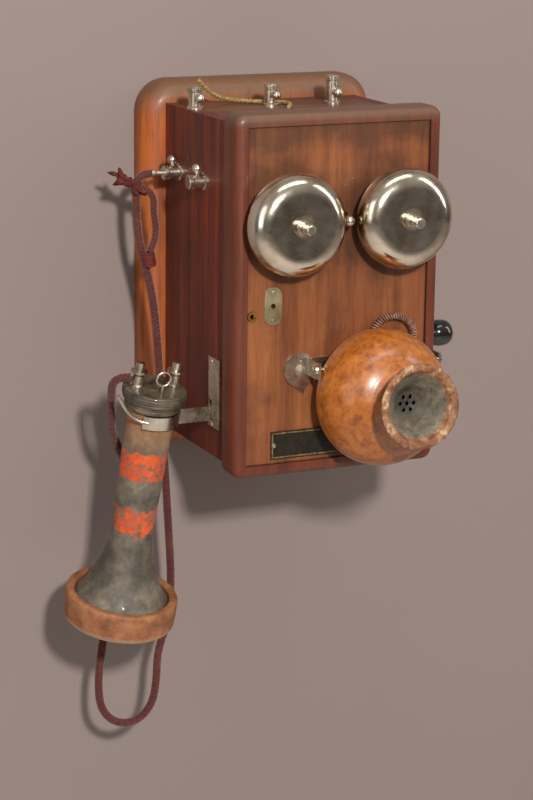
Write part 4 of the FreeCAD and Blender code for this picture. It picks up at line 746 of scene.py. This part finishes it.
# %% Receiver finish
def receiver_finish(name, roughness, coat):
    """A material whose heights run along the receiver's axis, from the ring of the hook."""
    finish = Finish(name, Roughness=roughness, Coat_Weight=coat)
    own = finish.add("ShaderNodeMapping", {"Vector": finish.where, "Location": tuple(-RECEIVER_PLACE)})
    length = finish.add("ShaderNodeVectorMath", {0: own.outputs[0], 1: tuple(RECEIVER_AXIS)},
                        operation="DOT_PRODUCT").outputs["Value"]
    return finish, length


body_skin, height = receiver_finish("worn_receiver", 0.6, 0.1)
grime = body_skin.noise(70, 8.0, rough=0.7)
scuff = body_skin.noise(300, 5.0)
grey = body_skin.ramp(grime, (0.3, shade(52, 47, 41)), (0.52, shade(96, 88, 76)),
                      (0.75, shade(136, 124, 104)))
brown = body_skin.ramp(grime, (0.3, shade(112, 76, 50)), (0.7, shade(160, 118, 84)))
top = body_skin.ramp(body_skin.math("MULTIPLY_ADD", height, 30, 1.05), (0.1, 0.0), (0.75, 1.0))
colour = body_skin.mix(top, grey, brown)
dark_belt = body_skin.ramp(body_skin.math("MULTIPLY_ADD", height, 22, 2.75),
                           (0.0, 1.0), (0.35, 0.45), (0.8, 1.0))
colour = body_skin.mix(0.85, colour, dark_belt, "MULTIPLY")
paint = body_skin.ramp(body_skin.math("ADD", grime, body_skin.math("MULTIPLY", scuff, 0.5)),
                       (0.62, shade(214, 92, 44)), (0.9, shade(184, 66, 26)))
wander = body_skin.math("MULTIPLY_ADD", body_skin.noise(110, 6.0), 0.012, -0.006)
place = body_skin.math("ADD", height, wander)
bands = []
for middle, half in ((-0.0365, 0.0092), (-0.0755, 0.0083)):
    gap = body_skin.math("ABSOLUTE", body_skin.math("SUBTRACT", place, middle))
    bands.append(body_skin.ramp(body_skin.math("MULTIPLY_ADD", gap, -400, 400 * half + 0.5),
                                (0.2, 0.0), (0.7, 1.0)))
flaked = body_skin.ramp(body_skin.noise(170, 7.0, rough=0.8), (0.43, 0.05), (0.53, 1.0))
mask = body_skin.math("MULTIPLY", body_skin.math("MAXIMUM", bands[0], bands[1]), flaked)
body_skin.colour(body_skin.mix(mask, colour, paint))
body_skin.rough(scuff, 0.45, 0.75)
body_skin.bump(body_skin.math("ADD", grime, scuff), 0.0004, 0.4)

cap_skin, height = receiver_finish("worn_ear_cap", 0.6, 0.05)
grime = cap_skin.noise(80, 8.0, rough=0.7)
tan = cap_skin.ramp(grime, (0.3, shade(88, 52, 30)), (0.5, shade(140, 88, 56)), (0.75, shade(172, 124, 88)))
lower = cap_skin.ramp(cap_skin.math("MULTIPLY_ADD", height, -250, -250 * 0.1455), (0.0, 0.0), (1.0, 0.8))
cap_skin.colour(cap_skin.mix(lower, tan, shade(176, 152, 122)))
cap_skin.rough(grime, 0.45, 0.75)
cap_skin.bump(grime, 0.0004, 0.35)

tail_skin, height = receiver_finish("worn_tail_cap", 0.5, 0.15)
grime = tail_skin.noise(110, 8.0, rough=0.7)
tail_skin.colour(tail_skin.ramp(grime, (0.3, shade(40, 36, 31)), (0.55, shade(84, 74, 60)),
                                (0.78, shade(132, 112, 84))))
tail_skin.rough(grime, 0.35, 0.65)
tail_skin.bump(grime, 0.0004, 0.35)

# %% Receiver surfaces
bell = [(0.0126, 0.0004), (0.0152, 0.0004), (0.0152, -0.0105), (0.0147, -0.030), (0.0140, -0.060),
        (0.0133, -0.082), (0.01335, -0.088), (0.0140, -0.095), (0.0151, -0.100), (0.0163, -0.105),
        (0.0183, -0.111), (0.0211, -0.118), (0.0244, -0.1248), (0.0268, -0.1290), (0.0283, -0.131),
        (0.0303, -0.1333), (0.0304, -0.1359), (0.0275, -0.1359), (0.0275, -0.1340), (0.0219, -0.125),
        (0.0184, -0.118), (0.0156, -0.111), (0.0136, -0.105), (0.0113, -0.094), (0.0107, -0.088),
        (0.0126, -0.0105), (0.0126, 0.0004)]
body = lathe("receiver_barrel", bell[::-1], on_receiver(), 96, 0.0008)
settle(body, "receiver", body_skin, "black_composition", "receiver_body")
cap = [(0.0306, -0.1312), (0.0316, -0.1301), (0.0350, -0.1301), (0.0361, -0.1309), (0.0365, -0.1330),
       (0.0365, -0.1455), (0.0362, -0.1480), (0.0347, -0.1500), (0.0318, -0.1505), (0.0220, -0.1478),
       (0.0110, -0.1440), (0.0070, -0.1425), (0.0050, -0.1420), (0.0050, -0.1400), (0.0270, -0.1380),
       (0.0270, -0.1368), (0.0306, -0.1367), (0.0306, -0.1312)]
ear_cap = lathe("ear_cap_ring", cap[::-1], on_receiver(), 128, 0.0006)
settle(ear_cap, "receiver", cap_skin, "black_composition", "receiver_ear_cap")
tail = [(0.0, 0.0005), (0.0172, 0.0005), (0.0178, 0.0012), (0.0178, 0.0030), (0.0173, 0.0034),
        (0.0178, 0.0038), (0.0180, 0.0054), (0.0195, 0.0062), (0.0197, 0.0074), (0.0193, 0.0079),
        (0.0201, 0.0083), (0.0204, 0.0092), (0.0204, 0.0112), (0.0199, 0.0116), (0.0203, 0.0121),
        (0.0200, 0.0132), (0.0188, 0.0137), (0.0150, 0.0137), (0.0, 0.0137)]
tail_cap = lathe("tail_cap_turning", tail[::-1], on_receiver(), 96, 0.0003)
settle(tail_cap, "receiver", tail_skin, "black_composition", "receiver_tail_cap")

# %% [markdown]
# ## Crank knob
# A glossy black handle with a waist by the arm and a domed end.

# %% Knob
ebony = Finish("black_gloss", Roughness=0.16, Coat_Weight=0.6)
ebony.colour(ebony.ramp(ebony.noise(120, 5.0), (0.3, shade(12, 11, 10)), (0.75, shade(34, 31, 28))))
ebony.bump(ebony.noise(900, 3.0), 0.0001, 0.2)
low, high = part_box("crank_knob")
centre = (low.x, (low.y + high.y) / 2, (low.z + high.z) / 2)
wide, long = (high.y - low.y) / 2, high.x - low.x
knob = [(0.0024, 0.0), (0.0058, 0.0), (0.0064, 0.0012), (0.0062, 0.0026), (0.0068, 0.0040),
        (wide - 0.0003, 0.0072), (wide, 0.010), (wide - 0.0002, long - 0.0054),
        (wide - 0.0012, long - 0.0030), (wide - 0.0032, long - 0.0010), (wide - 0.0058, long - 0.0001),
        (0.0, long), (0.0, long - 0.0019), (0.0024, long - 0.0019), (0.0024, 0.0)]
knob_piece = lathe("crank_handle", knob, facing_right(centre), 96, 0.0008)
settle(knob_piece, "knob", ebony, "black_composition", "crank_knob")
dress("carbon_button", ebony)

# %% [markdown]
# ## Nameplate
# The plate is dark japanned metal with a plain gilt border and no lettering.

# %% Plate and border
japan = Finish("black_japan", Metallic=0.2, Roughness=0.4)
low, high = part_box("nameplate")
middle = (low + high) / 2
off_x = japan.math("ABSOLUTE", japan.math("SUBTRACT", japan.axis("X"), middle.x))
off_z = japan.math("ABSOLUTE", japan.math("SUBTRACT", japan.axis("Z"), middle.z))
inset = japan.math("MAXIMUM", japan.math("SUBTRACT", off_x, (high.x - low.x) / 2),
                   japan.math("SUBTRACT", off_z, (high.z - low.z) / 2))
BORDER_INSET = 0.0012
line = japan.math("ABSOLUTE", japan.math("ADD", inset, BORDER_INSET))
border = japan.ramp(japan.math("MULTIPLY_ADD", line, -1800, 1.0), (0.1, 0.0), (0.3, 1.0))
rub = japan.noise(500, 5.0)
gilt = japan.ramp(rub, (0.3, shade(70, 58, 32)), (0.7, shade(138, 118, 72)))
ground = japan.ramp(rub, (0.3, shade(20, 17, 14)), (0.75, shade(50, 43, 33)))
japan.colour(japan.mix(border, ground, gilt))
dress("nameplate", japan)

# %% [markdown]
# ## Stage
# A pale wall stands behind the telephone, because it hangs on one, with a pale floor far
# below. The key light stands in front and a little above, so each shadow falls close
# beneath its piece, and strips of weaker light at the sides shape the metal.


# %% Wall, floor and lights
def flat(name, corners, colour):
    """A plain four-cornered sheet with a quiet, slightly uneven paint."""
    mesh = bpy.data.meshes.new(name)
    mesh.from_pydata(corners, [], [(0, 1, 2, 3)])
    sheet = bpy.data.objects.new(name, mesh)
    bpy.context.scene.collection.objects.link(sheet)
    paint = Finish(name + "_paint", Roughness=0.9)
    lighter = tuple(min(1.0, c * 1.06) for c in colour)
    paint.colour(paint.ramp(paint.noise(3, 2.0), (0.3, colour), (0.7, lighter)))
    mesh.materials.append(paint.material)
    return sheet


WALL = 0.0006
flat("back_wall", [(-4, WALL, -0.9), (4, WALL, -0.9), (4, WALL, 3), (-4, WALL, 3)], shade(128, 115, 110))
flat("floor", [(-4, -4, -0.9), (4, -4, -0.9), (4, WALL, -0.9), (-4, WALL, -0.9)], shade(205, 200, 196))


def soft_light(name, place, target, size, watts, colour=(1, 1, 1)):
    lamp = bpy.data.lights.new(name, "AREA")
    lamp.shape = "RECTANGLE"
    lamp.size, lamp.size_y = size
    lamp.energy = watts
    lamp.color = colour
    holder = bpy.data.objects.new(name, lamp)
    holder.location = place
    holder.rotation_mode = "QUATERNION"
    holder.rotation_quaternion = (Vector(target) - Vector(place)).to_track_quat("-Z", "Y")
    bpy.context.scene.collection.objects.link(holder)


AIM = (-0.02, -0.08, -0.03)
soft_light("key", (-0.38, -1.85, 0.75), AIM, (0.13, 0.13), 40, (1.0, 0.97, 0.93))
soft_light("fill", (-1.6, -1.0, 0.4), AIM, (0.8, 1.2), 5, (0.96, 0.98, 1.0))
soft_light("right_strip", (1.3, -0.9, 0.6), AIM, (0.3, 1.2), 6)
soft_light("top_strip", (0.1, -0.7, 1.4), AIM, (1.2, 0.3), 5)
world = bpy.data.worlds.new("studio")
world.use_nodes = True
sky = world.node_tree
direction = sky.nodes.new("ShaderNodeSeparateXYZ")
sky.links.new(sky.nodes.new("ShaderNodeTexCoord").outputs["Generated"], direction.inputs[0])
bright = sky.nodes.new("ShaderNodeMapRange")
sky.links.new(direction.outputs["Z"], bright.inputs["Value"])
bright.inputs["From Min"].default_value, bright.inputs["From Max"].default_value = -0.3, 0.7
bright.inputs["To Min"].default_value, bright.inputs["To Max"].default_value = 0.05, 0.5
sky.links.new(bright.outputs[0], sky.nodes["Background"].inputs["Strength"])
sky.nodes["Background"].inputs["Color"].default_value = (0.80, 0.76, 0.73, 1)
bpy.context.scene.world = world
